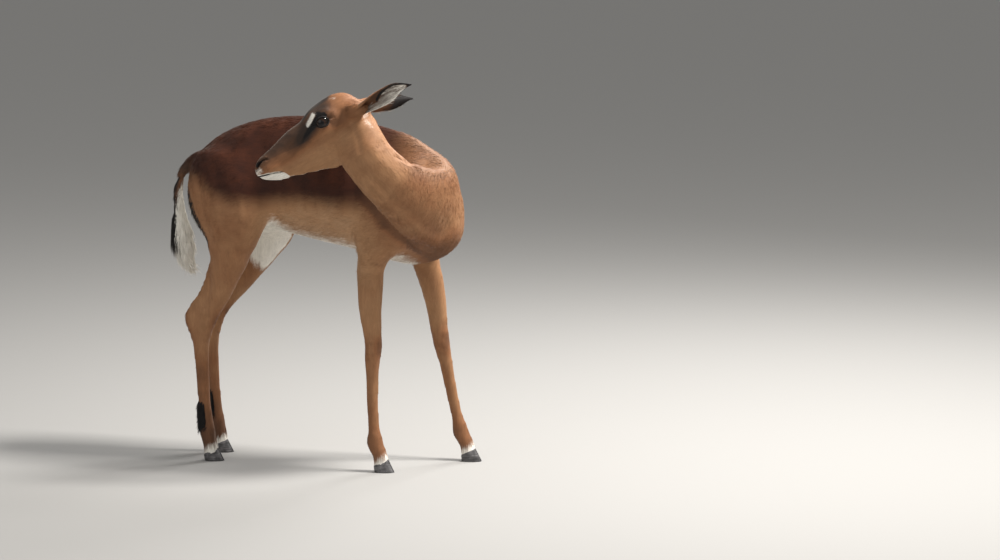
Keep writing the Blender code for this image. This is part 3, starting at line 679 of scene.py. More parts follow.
# %% [markdown]
# The solids end where the coat ends, so the skin moves in by the coat's depth: two
# millimetres on the body, less on the face and legs, and most of the tail's thickness,
# since her tail is nearly all hair. Nothing moves at the lids or above the hooves.

# %% Sink the skin by the coat's depth
# Millimetres of coat over the skin, then how the dock is drawn in under its locks.
DEPTH = {"trunk": 2.0, "neck": 2.0, "head": 0.9, "tail": 2.0, "foreleg": 0.9, "hindleg": 0.9}
TAIL_SHORTER, TAIL_THINNER, TAIL_END_THICKER = 0.10, 0.34, 0.12


def smooth_values(values, edges, rounds):
    values = np.asarray(values, float)
    flat = values.reshape(len(values), -1)
    for _ in range(rounds):
        flat = (flat + neighbours_mean(flat, edges)) / 2
    return flat.reshape(values.shape)


def coat_depth(mesh, parts):
    """Depth of the coat over each point, softened over the borders of the parts."""
    depth = np.zeros(len(parts))
    for k, name in enumerate(FLESH):
        depth[parts == k] = DEPTH[name.split("_")[0]]
    depth = smooth_values(depth, edges_of(mesh), 12)
    points = points_of(mesh)
    for side, _ in SIDES:
        inside, _, _, _, length = eye_field(points, side)
        depth *= 1 - ramp(inside, -0.012, -0.006) * (length < 0.032)
    muzzle = ramp(to_head(points)[:, 0], 0.24, 0.27) * in_part(parts, "head")
    return depth * (1 - 0.7 * muzzle) * ramp(points[:, 2], 0.030, 0.055)


def sink(obj, parts):
    points, normals = points_of(obj.data), normals_of(obj.data)
    points -= normals * (coat_depth(obj.data, parts) / 1000)[:, None]
    run, _, off = along_line(points - MOVE, TAIL_LINE)
    tail = in_part(parts, "tail")
    short = run * (1 - TAIL_SHORTER * ramp(run, 0.05, 0.25))
    ends = np.concatenate([[0], np.cumsum(np.linalg.norm(np.diff(TAIL_LINE, axis=0), axis=1))])
    middle_at = np.stack([np.interp(short, ends, TAIL_LINE[:, k]) for k in range(3)], 1)
    thin = 1 - TAIL_THINNER * ramp(run, 0.02, 0.08) + TAIL_END_THICKER * ramp(run, 0.15, 0.22)
    points = np.where(tail[:, None], MOVE + middle_at + off * thin[:, None], points)
    set_points(obj.data, points)


sink(skin, parts)
print("skin sunk by the coat's depth")

# %% [markdown]
# Every finish is built from nodes. A few helpers add a node with its inputs set or joined,
# do a sum, or turn a number into a colour, so that each material below reads as a recipe.

# %% Helpers to build a material's nodes
def put(tree, value, socket):
    """Joins a node's output to a socket, or sets the socket to a plain value."""
    if isinstance(value, bpy.types.NodeSocket):
        tree.links.new(value, socket)
    else:
        socket.default_value = value


def node(tree, kind, setting=None, **inputs):
    """A new node: its one setting, then its inputs by name, or by number as i0, i1 and on."""
    made = tree.nodes.new(kind)
    if setting:
        setattr(made, *setting)
    for name, value in inputs.items():
        by_number = name[0] == "i" and name[1:].isdigit()
        put(tree, value, made.inputs[int(name[1:]) if by_number else name.replace("_", " ")])
    return made


def calc(tree, operation, *values):
    """A math node's result."""
    made = node(tree, "ShaderNodeMath", ("operation", operation))
    for value, socket in zip(values, made.inputs):
        put(tree, value, socket)
    return made.outputs[0]


def noise(tree, vector, scale, detail):
    made = node(tree, "ShaderNodeTexNoise", Vector=vector, Scale=scale, Detail=detail)
    return made.outputs["Fac"]


def colour_ramp(tree, value, stops):
    made = node(tree, "ShaderNodeValToRGB", i0=value)
    elements = made.color_ramp.elements
    while len(elements) < len(stops):
        elements.new(0.5)
    for element, (at, colour) in zip(elements, stops):
        element.position = at
        element.color = (*colour, 1)
    return made.outputs["Color"]


def attribute(tree, name):
    return node(tree, "ShaderNodeAttribute", ("attribute_name", name))


def own_place(tree):
    return node(tree, "ShaderNodeTexCoord").outputs["Object"]


print("helpers for nodes ready")

# %% [markdown]
# Her eyes are nearly black, with a wide pupil and a wet shine. Each is a ball with a
# slightly bulging cornea, a little smaller than its solid so that the lids close on it.
# The iris is only just lighter than the pupil, so its colour follows the ball's axis.

# %% Eyeballs
EYE_GAP = 0.0002                      # how much smaller than its solid a ball is
EYE_FACES = (0.22, 0.08, 0.95)        # ahead, up and outwards
CORNEA_BULGE = 0.030
IRIS = [(0.0, (0.003, 0.003, 0.004)), (0.42, (0.004, 0.003, 0.004)),
        (0.50, (0.022, 0.010, 0.006)), (0.78, (0.012, 0.006, 0.004)),
        (0.88, (0.004, 0.003, 0.003)), (1.0, (0.006, 0.005, 0.004))]     # by radians from the axis


def eyeball(side, name):
    bm = bmesh.new()
    bmesh.ops.create_uvsphere(bm, u_segments=64, v_segments=40, radius=1)
    ahead, up, out = EYE_FACES
    facing = Vector(CHEEK * side * out + AHEAD * ahead + CROWN * up)
    turn = Vector((0, 0, 1)).rotation_difference(facing.normalized()).to_matrix()
    level = bm.verts.layers.float.new("iris")
    for v in bm.verts:
        v[level] = math.acos(max(-1, min(1, v.co.z)))
        bulge = 1.0 + CORNEA_BULGE * float(ramp(np.array(v.co.z), 0.70, 1.0))
        v.co = turn @ (v.co * (EYE_RADIUS - EYE_GAP) * bulge)
        v.co += Vector(EYES[side])
    obj = link(name, to_mesh(bm, name))
    obj.data.shade_smooth()
    return obj


def eye_material():
    made, tree, shader = new_material("dark_eye", 0.06)
    streaks = calc(tree, "MULTIPLY", noise(tree, own_place(tree), 520.0, 3.0), 0.10)
    reach = calc(tree, "ADD", attribute(tree, "iris").outputs["Fac"], streaks)
    put(tree, colour_ramp(tree, reach, IRIS), shader.inputs["Base Color"])
    shader.inputs["Specular IOR Level"].default_value = 0.34
    return made


dark_eye = eye_material()
for side, word in SIDES:
    ball = eyeball(side, "eyeball_" + word)
    ball.data.materials.append(dark_eye)
    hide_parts("eye_" + word)
    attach(ball, "root")
print("two eyeballs of", len(ball.data.polygons), "faces")

# %% [markdown]
# The hooves. The solids have the right size, but their edges are sharp, so each is melted
# at a fine voxel, which rounds them, and shallow rings of growth run round the horn, level
# with the coronet. The sole is pressed flat on the floor again at the end.

# %% Hooves
HOOF_VOXEL = 0.0016
GROWTH_RINGS = ((0.0046, 0.0, 1.0), (0.0021, 1.0, 0.5))    # spacing, start and strength
RING_HEIGHT, CORONET_SLOPE, SOLE = 0.00012, 0.45, 0.0011
HORN_GREYS = [(0.10, (0.022, 0.021, 0.022)), (0.24, (0.075, 0.072, 0.074)),
              (0.42, (0.190, 0.185, 0.190))]


def horn_material():
    made, tree, shader = new_material("hoof_horn", 0.42)
    place = own_place(tree)
    rings = node(tree, "ShaderNodeMapping", Vector=place, Scale=(30.0, 30.0, 420.0))
    grain = noise(tree, rings.outputs["Vector"], 1.0, 4.0)
    mottle = noise(tree, place, 90.0, 3.0)
    grey = colour_ramp(tree, calc(tree, "MULTIPLY", grain, mottle), HORN_GREYS)
    dull = colour_ramp(tree, mottle, [(0.3, (0.34,) * 3), (0.7, (0.58,) * 3)])
    bump = node(tree, "ShaderNodeBump", Height=grain, Strength=0.5, Distance=0.0006)
    put(tree, grey, shader.inputs["Base Color"])
    put(tree, dull, shader.inputs["Roughness"])
    put(tree, bump.outputs["Normal"], shader.inputs["Normal"])
    return made


hoof_horn = horn_material()
for name in HOOF_NODES:
    hoof = melt("horn_" + name.replace("_hoof", ""), [(name, 0.0)], HOOF_VOXEL)
    relax(hoof.data, 12, push=1.0)
    points, normals = points_of(hoof.data), normals_of(hoof.data)
    toe_x = FEET[name.split("_hoof")[0]][0]
    level = points[:, 2] + (toe_x - (points[:, 0] - MOVE[0])) * CORONET_SLOPE
    rings = sum(strength * np.sin(level / spacing * math.tau + start)
                for spacing, start, strength in GROWTH_RINGS)
    wall = fall(np.abs(normals[:, 2]), 0.45, 0.75)
    points += normals * (rings * RING_HEIGHT * wall)[:, None]
    points[:, 2] = np.where(points[:, 2] < SOLE, 0.0, points[:, 2])
    set_points(hoof.data, points)
    hoof.data.shade_smooth()
    hoof.data.materials.clear()
    hoof.data.materials.append(hoof_horn)
    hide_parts(name)
    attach(hoof, "root")
print(len(HOOF_NODES), "hooves of", len(hoof.data.polygons), "faces")

# %% [markdown]
# The ears. A thin curved shell is rolled into a tube at its root and opens to a pointed
# leaf. The outside is one smooth back. The inside has low ridges of gristle that run from
# root to tip. Every point keeps how far along the ear it lies and how far across.

# %% Ear shells
# Places from root to tip in the head's frame: ahead, up, outwards.
EAR_LINES = {
    1: [(0.024, -0.018, 0.030), (-0.012, -0.019, 0.053), (-0.048, -0.019, 0.070),
        (-0.086, -0.025, 0.082), (-0.122, -0.042, 0.088)],
    -1: [(0.026, -0.008, 0.026), (-0.008, -0.028, 0.050), (-0.040, -0.049, 0.070),
         (-0.074, -0.070, 0.081), (-0.107, -0.092, 0.086)],
}
# At the same places: radius, half spread in degrees, and the way the opening faces.
EAR_SHAPE = [(0.0100, 150, 0.3, -0.35, 1.0), (0.0150, 124, 0.3, -0.35, 1.0),
             (0.0205, 90, 0.25, -0.40, 1.0), (0.0205, 60, 0.2, -0.40, 1.0),
             (0.0030, 36, 0.2, -0.40, 1.0)]
EAR_ROWS, EAR_ACROSS, EAR_WALL = 60, 22, 0.0028
RIDGE_HEIGHT, RIM_WAVE = 0.0006, 0.0012


def ear_line(side):
    return np.array([on_head(a, u, c * side) for a, u, c in EAR_LINES[side]])


def catmull(rows, count):
    """Rows of numbers resampled along the smooth curve through them."""
    rows = np.array(rows, float)
    padded = np.vstack([2 * rows[0] - rows[1], rows, 2 * rows[-1] - rows[-2]])
    made = []
    for at in np.linspace(0, len(rows) - 1, count):
        k = min(int(at), len(rows) - 2)
        a, b, c, d = padded[k:k + 4]
        t = at - k
        made.append(0.5 * (2 * b + (c - a) * t + (2 * a - 5 * b + 4 * c - d) * t ** 2
                           + (3 * b - a - 3 * c + d) * t ** 3))
    return np.array(made)


def faces_outward(mesh):
    bm = bmesh.new()
    bm.from_mesh(mesh)
    bmesh.ops.recalc_face_normals(bm, faces=bm.faces)
    bm.to_mesh(mesh)
    bm.free()
    mesh.shade_smooth()


def ear_shell(side, name):
    """The shell, and each point's share along the ear, share across it, and 1 if inside."""
    rows = catmull([(*p, *shape) for p, shape in zip(EAR_LINES[side], EAR_SHAPE)], EAR_ROWS)
    line = np.array([on_head(a, u, left * side) for a, u, left in rows[:, :3]])
    points, facts = [], []
    for k, row in enumerate(rows):
        t = k / (EAR_ROWS - 1)
        spread = math.radians(row[4]) * (1 - 0.25 * max(0, t - 0.9) / 0.1)
        radius = row[3] if t < 0.75 else row[3] * (1 - 0.1 * (t - 0.75) / 0.25)
        way = line[min(k + 1, EAR_ROWS - 1)] - line[max(k - 1, 0)]
        way /= np.linalg.norm(way)
        opening = HEAD_AXES.T @ np.array([row[5], row[6], row[7] * side])
        opening -= way * (opening @ way)
        opening /= np.linalg.norm(opening)
        across = np.cross(way, opening)
        wall = EAR_WALL * min(1.0, 0.30 + radius / 0.02)
        for inner in (0, 1):
            for j in range(EAR_ACROSS)[::-1 if inner else 1]:
                rim = 2 * j / (EAR_ACROSS - 1) - 1
                turn = spread * rim
                thick = inner * wall * (0.30 + 0.70 * math.cos(rim * math.pi / 2))
                ridge = math.cos(rim * 9.0) * math.sin(min(1, t * 1.2) * math.pi)
                r = radius - thick - ridge * RIDGE_HEIGHT * inner
                wave = RIM_WAVE * math.sin(t * 11 + side) * rim ** 2
                points.append(line[k] + opening * (radius - r * math.cos(turn) + wave)
                              + across * (r * math.sin(turn)))
                facts.append((t, rim, float(inner)))
    ring = 2 * EAR_ACROSS
    faces = [(k * ring + j, k * ring + (j + 1) % ring, (k + 1) * ring + (j + 1) % ring,
              (k + 1) * ring + j) for k in range(EAR_ROWS - 1) for j in range(ring)]
    for base in (0, (EAR_ROWS - 1) * ring):
        faces += [(base + j, base + j + 1, base + ring - 2 - j, base + ring - 1 - j)
                  for j in range(EAR_ACROSS - 1)]
    mesh = bpy.data.meshes.new(name)
    mesh.from_pydata([tuple(p) for p in points], [], faces)
    faces_outward(mesh)
    facts = np.array(facts)
    tall = np.array(points)[:, 2]
    halfway = np.abs(facts[:, 0] - 0.5) < 0.05
    if tall[halfway & (facts[:, 1] > 0.8)].mean() < tall[halfway & (facts[:, 1] < -0.8)].mean():
        facts[:, 1] *= -1                                # 1 is the upper rim on both ears
    return link(name, mesh), facts


ears = {}
for side, word in SIDES:
    shell, facts = ear_shell(side, "ear_shell_" + word)
    ears[side] = (shell, facts)
    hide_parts("ear_" + word)
    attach(shell, "root")
print("two ears of", len(shell.data.polygons), "faces")

# %% [markdown]
# Her markings. Skin and coat share them, so they are worked out once, as four numbers kept
# at every point: saddle, white, black and tone. Each is like a distance from the marking's
# edge: one half lies on the edge, and the material turns it into a crisp or ragged border.
# She has a dark saddle, white underparts, a black stripe on each buttock, black crown, eye
# and ear marks, and a pale streak before each eye.

# %% Markings of the body
SADDLE_EDGE = [(-0.40, 0.730), (-0.343, 0.706), (-0.310, 0.683), (-0.279, 0.671),
               (-0.250, 0.653), (-0.199, 0.642), (-0.137, 0.637), (-0.096, 0.646),
               (-0.036, 0.652), (0.069, 0.644), (0.124, 0.648), (0.190, 0.668),
               (0.250, 0.676), (0.300, 0.670), (0.350, 0.660)]
BUTTOCK_STRIPE = [(0.690, 0.046), (0.670, 0.066), (0.650, 0.080), (0.617, 0.091),
                  (0.580, 0.094), (0.550, 0.092), (0.520, 0.086)]     # height and half spread
# Each hind leg's gland: its outer side, its height, and how far its spot turns outwards.
GLANDS = (("hindleg_right", -1, 0.112, 0.4), ("hindleg_left", 1, 0.122, -0.3))


def edge(distance, soft):
    """0.5 on a marking's edge, 1 well inside and 0 well outside."""
    return np.clip(0.5 + distance / (2 * soft), 0, 1)


def band(points, line, half, soft):
    """A marking along a bent line, by its half width and the softness of its edge."""
    return edge(half - near_line(points, line), soft)


def layered(*fields):
    """The strongest of several markings at each point."""
    return np.max(np.stack(fields), axis=0)


def body_marks(points, normals, parts):
    own = points - MOVE
    x, z = own[:, 0], own[:, 2]
    y = own[:, 1] - spine_turn(x)
    torso = in_part(parts, "trunk").astype(float)
    upper_hind = (in_part(parts, "hindleg") & (z > 0.42)).astype(float)
    line = np.interp(x, *zip(*SADDLE_EDGE))
    line = line - 0.009 * ramp(x, -0.30, -0.22) * fall(x, 0.10, 0.16)
    soft = 0.034 + 0.045 * ramp(x, 0.06, 0.22)
    saddle = edge(z - line, soft) * torso * (1 - 0.56 * ramp(x, 0.12, 0.25))
    steep = 0.86 - 0.22 * ramp(-x, 0.06, 0.14)
    belly = edge((-normals[:, 2] - steep) * 0.030, 0.010)
    belly = belly * torso * fall(x, 0.10, 0.20) * ramp(x, -0.34, -0.24)
    brisket = edge((-normals[:, 2] - 0.80) * 0.04, 0.012) * torso * ramp(x, 0.10, 0.16) * \
        fall(x, 0.22, 0.27) * fall(z, 0.51, 0.54)
    inward = -normals[:, 1] * np.sign(y)
    inner_thigh = edge(z - (0.446 - 1.1 * (x + 0.19)), 0.030) * ramp(inward, 0.05, 0.40) * \
        np.maximum(upper_hind, torso * ramp(-x, 0.08, 0.12)) * (z < 0.62)
    heights, spreads = np.array(BUTTOCK_STRIPE[::-1]).T
    spread = np.interp(z, heights, spreads)
    rear = np.maximum(torso, upper_hind) * ramp(-x, 0.225, 0.255) * ramp(-normals[:, 0], 0.0, 0.25)
    stripe = edge(0.0066 - np.abs(np.abs(y) - spread - 0.0020), 0.003) * rear * \
        ramp(z, 0.500, 0.535) * fall(z, 0.690, 0.712)
    buttock = edge(spread - 0.004 - np.abs(y), 0.006) * rear * ramp(z, 0.46, 0.52) * \
        fall(z, 0.680, 0.700) * ramp(near_line(own, TAIL_LINE), 0.026, 0.040)
    foot = edge(0.034 - z + 0.010 * normals[:, 0] + 0.004 * np.sin(x * 900) * np.sin(y * 700),
                0.018) * 0.85
    gland = np.zeros(len(own))
    for leg, out, height, lean in GLANDS:
        outwards = ramp(-normals[:, 0] + normals[:, 1] * out * lean, 0.15, 0.45)
        gland += edge(0.022 - np.abs(z - height), 0.014) * outwards * in_part(parts, leg)
    white = layered(belly, brisket, inner_thigh, buttock, foot)
    return saddle, white, layered(stripe, gland), gland

# %% [markdown]
# Tone tells the plain coat's shade: half is fawn, more is redder and darker, less is paler.
# It is darker on the rump, the legs, the chest and the underside of the neck. The crease
# under the neck and the chest's lower front get painted shade; thighs, shoulders and the
# backs and lower parts of the legs are partly browner hair, partly painted shade.

# %% Tone of the body
# The crease where the neck meets the chest, along which shade is painted into the tone.
NECK_CREASE_SHADE_LINE = [(0.080, -0.102, 0.712), (0.128, -0.113, 0.662), (0.163, -0.112, 0.625),
              (0.196, -0.114, 0.592), (0.252, -0.112, 0.549), (0.290, -0.050, 0.513)]
NAPE = [(0.175, -0.165, 0.87), (0.215, -0.135, 0.79), (0.262, -0.120, 0.74)]


def body_tone(points, normals, parts):
    own = points - MOVE
    x, z = own[:, 0], own[:, 2]
    trunk, neck = in_part(parts, "trunk"), in_part(parts, "neck")
    upper = ramp(z, 0.36, 0.48)
    # Thighs, rump and shoulders darker: partly their own redder fawn, partly painted shade.
    tone = 0.44 + (0.12 * ramp(-x, 0.10, 0.20) + 0.08 * ramp(x, 0.10, 0.18)) * upper
    tone += 0.40 * ramp(-x, 0.325, 0.350) * ramp(z, 0.66, 0.69)            # root of the tail
    # Painted shade along the crease under the neck.
    tone += 0.16 * fall(near_line(own, NECK_CREASE_SHADE_LINE), 0.008, 0.034)
    tone = np.where(neck, 0.47 + 0.14 * fall(near_line(own, NAPE), 0.030, 0.070), tone)
    tone += 0.05 * trunk * ramp(x, 0.18, 0.29) * ramp(z, 0.57, 0.68)       # shoulder
    # Painted shade low on the front of the chest, below its keel.
    tone += 0.14 * (trunk | neck) * ramp(x, 0.25, 0.30) * fall(z, 0.56, 0.60)      # chest
    tone -= 0.10 * trunk * fall(np.abs(x), 0.10, 0.20) * fall(z, 0.60, 0.64)    # flank
    # Legs: a dark patch before each knee and hock, and browner hair low down and behind, which is
    # partly painted shade behind the hocks and knees and on the cannons.
    front, behind = ramp(normals[:, 0], 0.1, 0.7), ramp(-normals[:, 0], 0.1, 0.7)
    for leg in LEG_LINES:
        hind, knee = leg.startswith("hind"), knee_of(leg)[1]
        dark = 0.30 * front * np.exp(-((z - knee) / 0.030) ** 2)
        dark += 0.12 * fall(z, 0.06, 0.16) + 0.10 * fall(z, 0.20, 0.36)
        dark += 0.09 * fall(z, 0.20, 0.30) * hind
        dark += 0.10 * behind * fall(z, 0.30, 0.40)
        dark += (0.25 if hind else 0.12) * behind * np.exp(-((z - knee + 0.005) / 0.035) ** 2)
        tone = np.where(in_part(parts, leg), tone + dark, tone)
    return np.clip(tone, 0, 1)


print("body's edges:", len(SADDLE_EDGE), "places of the saddle,", len(GLANDS), "glands")

# %% [markdown]
# The head's markings are drawn in its own side view, in metres ahead of the poll and up.
# Most are bands along short bent lines, so a table holds them.

# %% Markings of the head
BROW_STREAK = [(0.128, 0.0160), (0.116, 0.0225), (0.104, 0.0290)]
TEAR_STREAK = [(0.114, 0.009), (0.130, 0.006), (0.150, -0.002), (0.172, -0.012)]
HEAD_BANDS = {                        # line of (ahead, up), half width and softness
    "lash": ([(0.094, 0.0245), (0.084, 0.0165)], 0.0062, 0.0045),
    "over_lid": ([(0.119, 0.0110), (0.106, 0.0170), (0.094, 0.0195), (0.083, 0.0140)],
                 0.0056, 0.0040),
    "corner": ([(0.124, 0.0085), (0.112, 0.0105)], 0.0082, 0.0045),
    "tear": (TEAR_STREAK, 0.0058, 0.0045),
    "streak": (BROW_STREAK, 0.0040, 0.0044),
    "streak_core": (BROW_STREAK, 0.0030, 0.0025),
    "mouth": (MOUTH, 0.0015, 0.0016),
    "dark_cheek": ([(0.125, 0.006), (0.150, -0.003), (0.190, -0.020), (0.225, -0.026)],
                   0.008, 0.012),
    "dark_brow": ([(0.094, 0.036), (0.070, 0.034)], 0.013, 0.008),
    "pale_cheek": ([(0.118, -0.014), (0.100, -0.020)], 0.014, 0.012),
}
CROWN_BAND = ([(0.118, 0.0), (0.090, 0.002), (0.060, 0.004)], 0.0165, 0.009)  # (ahead, outwards)
# A painted highlight: pale grey on top of the head, just behind the crown's black.
CROWN_HIGHLIGHT_BAND = ([(0.052, 0.015), (0.040, 0.020)], 0.006, 0.007)
BEHIND_EAR = ([(0.024, -0.028, 0.040), (0.008, -0.044, 0.042), (0.010, -0.064, 0.050)],
              0.013, 0.018)
LIP_AHEAD = [0.228, 0.236, 0.244, 0.254, 0.268, 0.283, 0.295]     # the white lips' upper edge
LIP_UP = [-0.060, -0.043, -0.0335, -0.0275, -0.0205, -0.0140, -0.0100]


def head_marks(points, normals):
    """White, black and tone of the head, and where on the skin they hold."""
    at = to_head(points)
    a, n, c = at[:, 0], at[:, 1], np.abs(at[:, 2])
    here = ramp(a, -0.02, 0.01) * (a < 0.33) * (c < 0.08) * ramp(n, -0.15, -0.12)
    flat, top, whole = at[:, :2], np.stack([a, c], 1), np.stack([a, n, c], 1)
    bands = {name: band(flat, *row) for name, row in HEAD_BANDS.items()}
    side_face = ramp(c, 0.010, 0.020)
    left, right = (eye_field(points, side) for side, _ in SIDES)
    inside = np.maximum(left[0], right[0])
    along, across = (np.where(at[:, 2] > 0, left[k], right[k]) for k in (1, 2))
    rim = edge(inside + 0.0024 + 0.0026 * ramp(a, 0.098, 0.114) + 0.0026 * (across > 0), 0.0022)
    rim *= ramp(along, -HALF_EYE - 0.0015, -HALF_EYE + 0.0015)
    bands["tear"] *= 1 - 0.70 * ramp(a, 0.132, 0.172)
    eye_black = layered(rim, *(bands[name] * side_face for name in
                               ("lash", "corner", "tear", "over_lid"))) * ramp(a, 0.060, 0.070)
    eye_black *= 1 - 0.95 * bands["streak_core"] * side_face
    crown = band(top, *CROWN_BAND)
    crown *= ramp(n, 0.014, 0.024) * (0.65 + 0.35 * ramp(a, 0.050, 0.080))
    slit = 0.0044 * ramp(a, 0.248, 0.282)
    nostril = edge(slit - near_line(flat, NOSTRIL), 0.0020) * ramp(c, 0.002, 0.005)
    mouth = bands["mouth"] * (0.70 + 0.28 * ramp(a, 0.262, 0.272))
    black = layered(eye_black, crown * 0.97, nostril, mouth) * here
    streak = bands["streak"] * side_face * ramp(n, 0.004, 0.010)
    lips = edge(np.interp(a, LIP_AHEAD, LIP_UP) - n, 0.0030) * ramp(a, 0.226, 0.236)
    under = edge((-normals @ CROWN - 0.78) * 0.03, 0.010) * ramp(a, 0.115, 0.150)
    nose = edge(np.minimum(np.minimum(a - 0.272, n + 0.016), 0.003 - n), 0.006)
    # Painted highlight on top of the head behind the crown.
    grey = band(top, *CROWN_HIGHLIGHT_BAND) * ramp(n, 0.01, 0.02)
    white = layered(streak * (1 - rim), lips * 0.92, under * 0.62,
                    band(whole, *BEHIND_EAR) * 0.48, nose * 0.52, grey * 0.42) * here
    # The face's fawn is set darker than the body's: partly its own darker tan, partly painted shade
    # over the whole face.
    tone = 0.765 + 0.155 * ramp(n + 0.30 * (a - 0.2), -0.036, 0.004) * ramp(a, 0.10, 0.15)
    tone -= 0.12 * ramp(-n, 0.030, 0.065) * ramp(a, 0.06, 0.12)
    tone += 0.34 * bands["dark_cheek"]
    tone -= 0.14 * fall(a, 0.030, 0.075)
    tone += 0.16 * bands["dark_brow"]
    tone -= 0.12 * bands["pale_cheek"]
    tone -= 0.08 * ramp(-n, 0.03, 0.07)
    tone = tone * (1 - nose) + 0.95 * nose
    return white, black, tone, here


print("head's bands:", ", ".join(HEAD_BANDS))

# %% [markdown]
# The tail's white, black and tone go by the place along and round its middle line, with a
# little chance from hair to hair. Then all the markings are put together on the skin, and
# painted shade is deepened in the crease under the neck.

# %% Markings of the tail, and all of them kept on the skin
# How much painted shade darkens the crease under the neck, and the darkest tone it reaches.
CREASE_SHADE_AMOUNT, CREASE_SHADE_LIMIT = 0.26, 0.72


def tail_marks(points, seed=31):
    """Marks for the tail's roots, and how far along the tail each one lies."""
    chance = np.random.default_rng(seed)
    run, _, off = along_line(points - MOVE, TAIL_LINE)
    t = run / line_length(TAIL_LINE)
    outer = -(off / np.maximum(np.linalg.norm(off, axis=1), 1e-6)[:, None])[:, 0]
    outer += chance.normal(0, 0.12, len(points))
    dark = ramp(outer, 0.16, 0.40) * ramp(t, 0.0, 0.08) * fall(t, 0.62, 0.78)
    t = t + chance.normal(0, 0.02, len(points))
    white = ramp(t + 0.12 * ramp(-outer, 0.0, 0.8), 0.30, 0.52) * (1 - dark)
    tone = 0.72 + 0.16 * ramp(outer, -0.4, 0.3) * ramp(t, 0.0, 0.12)
    return np.stack([0 * t, white, dark, tone], 1), t


def mark_skin(obj, parts):
    points, normals = points_of(obj.data), normals_of(obj.data)
    edges = edges_of(obj.data)
    saddle, white, black, gland = body_marks(points, normals, parts)
    saddle, white = smooth_values(np.stack([saddle, white], 1), edges, 3).T
    tone = smooth_values(body_tone(points, normals, parts), edges, 40)
    # Painted shade deepens the crease under the neck, up to that darkest tone.
    crease = fall(near_line(points - MOVE, NECK_CREASE_SHADE_LINE), 0.003, 0.024)
    tone = np.maximum(tone, np.minimum(tone + CREASE_SHADE_AMOUNT * crease, CREASE_SHADE_LIMIT))
    face_white, face_black, face_tone, here = head_marks(points, normals)
    run = along_line(points - MOVE, NECK_LINE)[0]
    is_head = in_part(parts, "head", "neck") * (1 - ramp(run, 0.0, 0.085)) * here
    marks = np.stack([saddle, np.maximum(white * (1 - is_head), face_white),
                      np.maximum(black, face_black),
                      tone * (1 - is_head) + face_tone * is_head], 1)
    dock = smooth_values(in_part(parts, "tail").astype(float), edges, 3)[:, None]
    marks = marks * (1 - dock) + tail_marks(points)[0] * dock
    keep_values(obj.data, "marks", "FLOAT_COLOR", marks)
    return marks, gland


marks, gland = mark_skin(skin, parts)
print("marks kept at", len(marks), "points")

# %% [markdown]
# The lie of the coat. Hair runs from the nose to the poll, down the neck, back along the
# trunk, over the rump and down the legs. The same rule gives each point a second set of
# coordinates, squeezed along the hair, in which a plain noise turns into strands.

# %% Which way the hair lies
SQUEEZE = 0.14                        # how much shorter a strand's coordinates are along it


def hair_lie(points, normals, parts, edges):
    """Direction of the hair at each point, smoothed over the body."""
    own = points - MOVE
    x, z = own[:, 0], own[:, 2]
    down = 0.30 + 1.3 * ramp(-x, 0.20, 0.33) + 1.6 * ramp(x, 0.20, 0.30)
    down = down + 0.5 * fall(z, 0.56, 0.66)
    way = np.stack([-np.ones(len(x)), np.zeros(len(x)), -down], 1)
    way[in_part(parts, "foreleg", "hindleg")] = (-0.12, 0, -1)
    for word, line in (("neck", NECK_LINE), ("tail", TAIL_LINE)):
        mine = in_part(parts, word)
        way[mine] = along_line(own[mine], line)[1]
    mine = in_part(parts, "head")
    at = to_head(points[mine])
    fan = -0.55 * ramp(-at[:, 1], 0.0, 0.08) * ramp(at[:, 0], 0.05, 0.16)
    way[mine] = np.stack([-np.ones(len(at)), 0.15 + fan, np.sign(at[:, 2]) * 0.15], 1) @ HEAD_AXES
    way = smooth_values(way, edges, 30)
    way -= normals * np.sum(way * normals, 1)[:, None]
    return way / np.maximum(np.linalg.norm(way, axis=1), 1e-6)[:, None]


def strand_choices(points):
    """The squeezed coordinates by each part's rule, in the order of KINDS."""
    own = points - MOVE
    choices = [own * np.array([SQUEEZE, 1, 1]), own * np.array([1, 1, SQUEEZE]),
               to_head(points) * np.array([SQUEEZE, 1, 1])]
    for line in (NECK_LINE, TAIL_LINE):
        run, _, off = along_line(own, line)
        choices.append(off + np.array([0, 0, 1]) * (run * SQUEEZE)[:, None])
    return np.stack(choices)


KINDS = {"trunk": 0, "foreleg": 1, "hindleg": 1, "head": 2, "neck": 3, "tail": 4}


def lay_strands(obj, parts):
    """Each face takes one rule for all its corners, so no face stretches between two."""
    kinds = np.array([KINDS[name.split("_")[0]] for name in FLESH])[parts]
    choices = strand_choices(points_of(obj.data))
    corner = read(obj.data.loops, "vertex_index", kind=int)
    first = read(obj.data.polygons, "loop_start", kind=int)
    face_kind = np.repeat(kinds[corner[first]], np.diff(np.append(first, len(corner))))
    keep_values(obj.data, "strands", "FLOAT_VECTOR", choices[face_kind, corner], "CORNER")
    return choices[kinds, np.arange(len(kinds))]


way = hair_lie(points_of(skin.data), normals_of(skin.data), parts, edges_of(skin.data))
squeezed = lay_strands(skin, parts)
print("hair laid by", len(set(KINDS.values())), "rules")

# %% [markdown]
# One group of nodes turns the four numbers into colours, for skin and coat alike. Noise in
# the squeezed coordinates breaks each marking's edge into hairs, and gives fawn, rufous
# and white their streaks of lighter and darker hair.

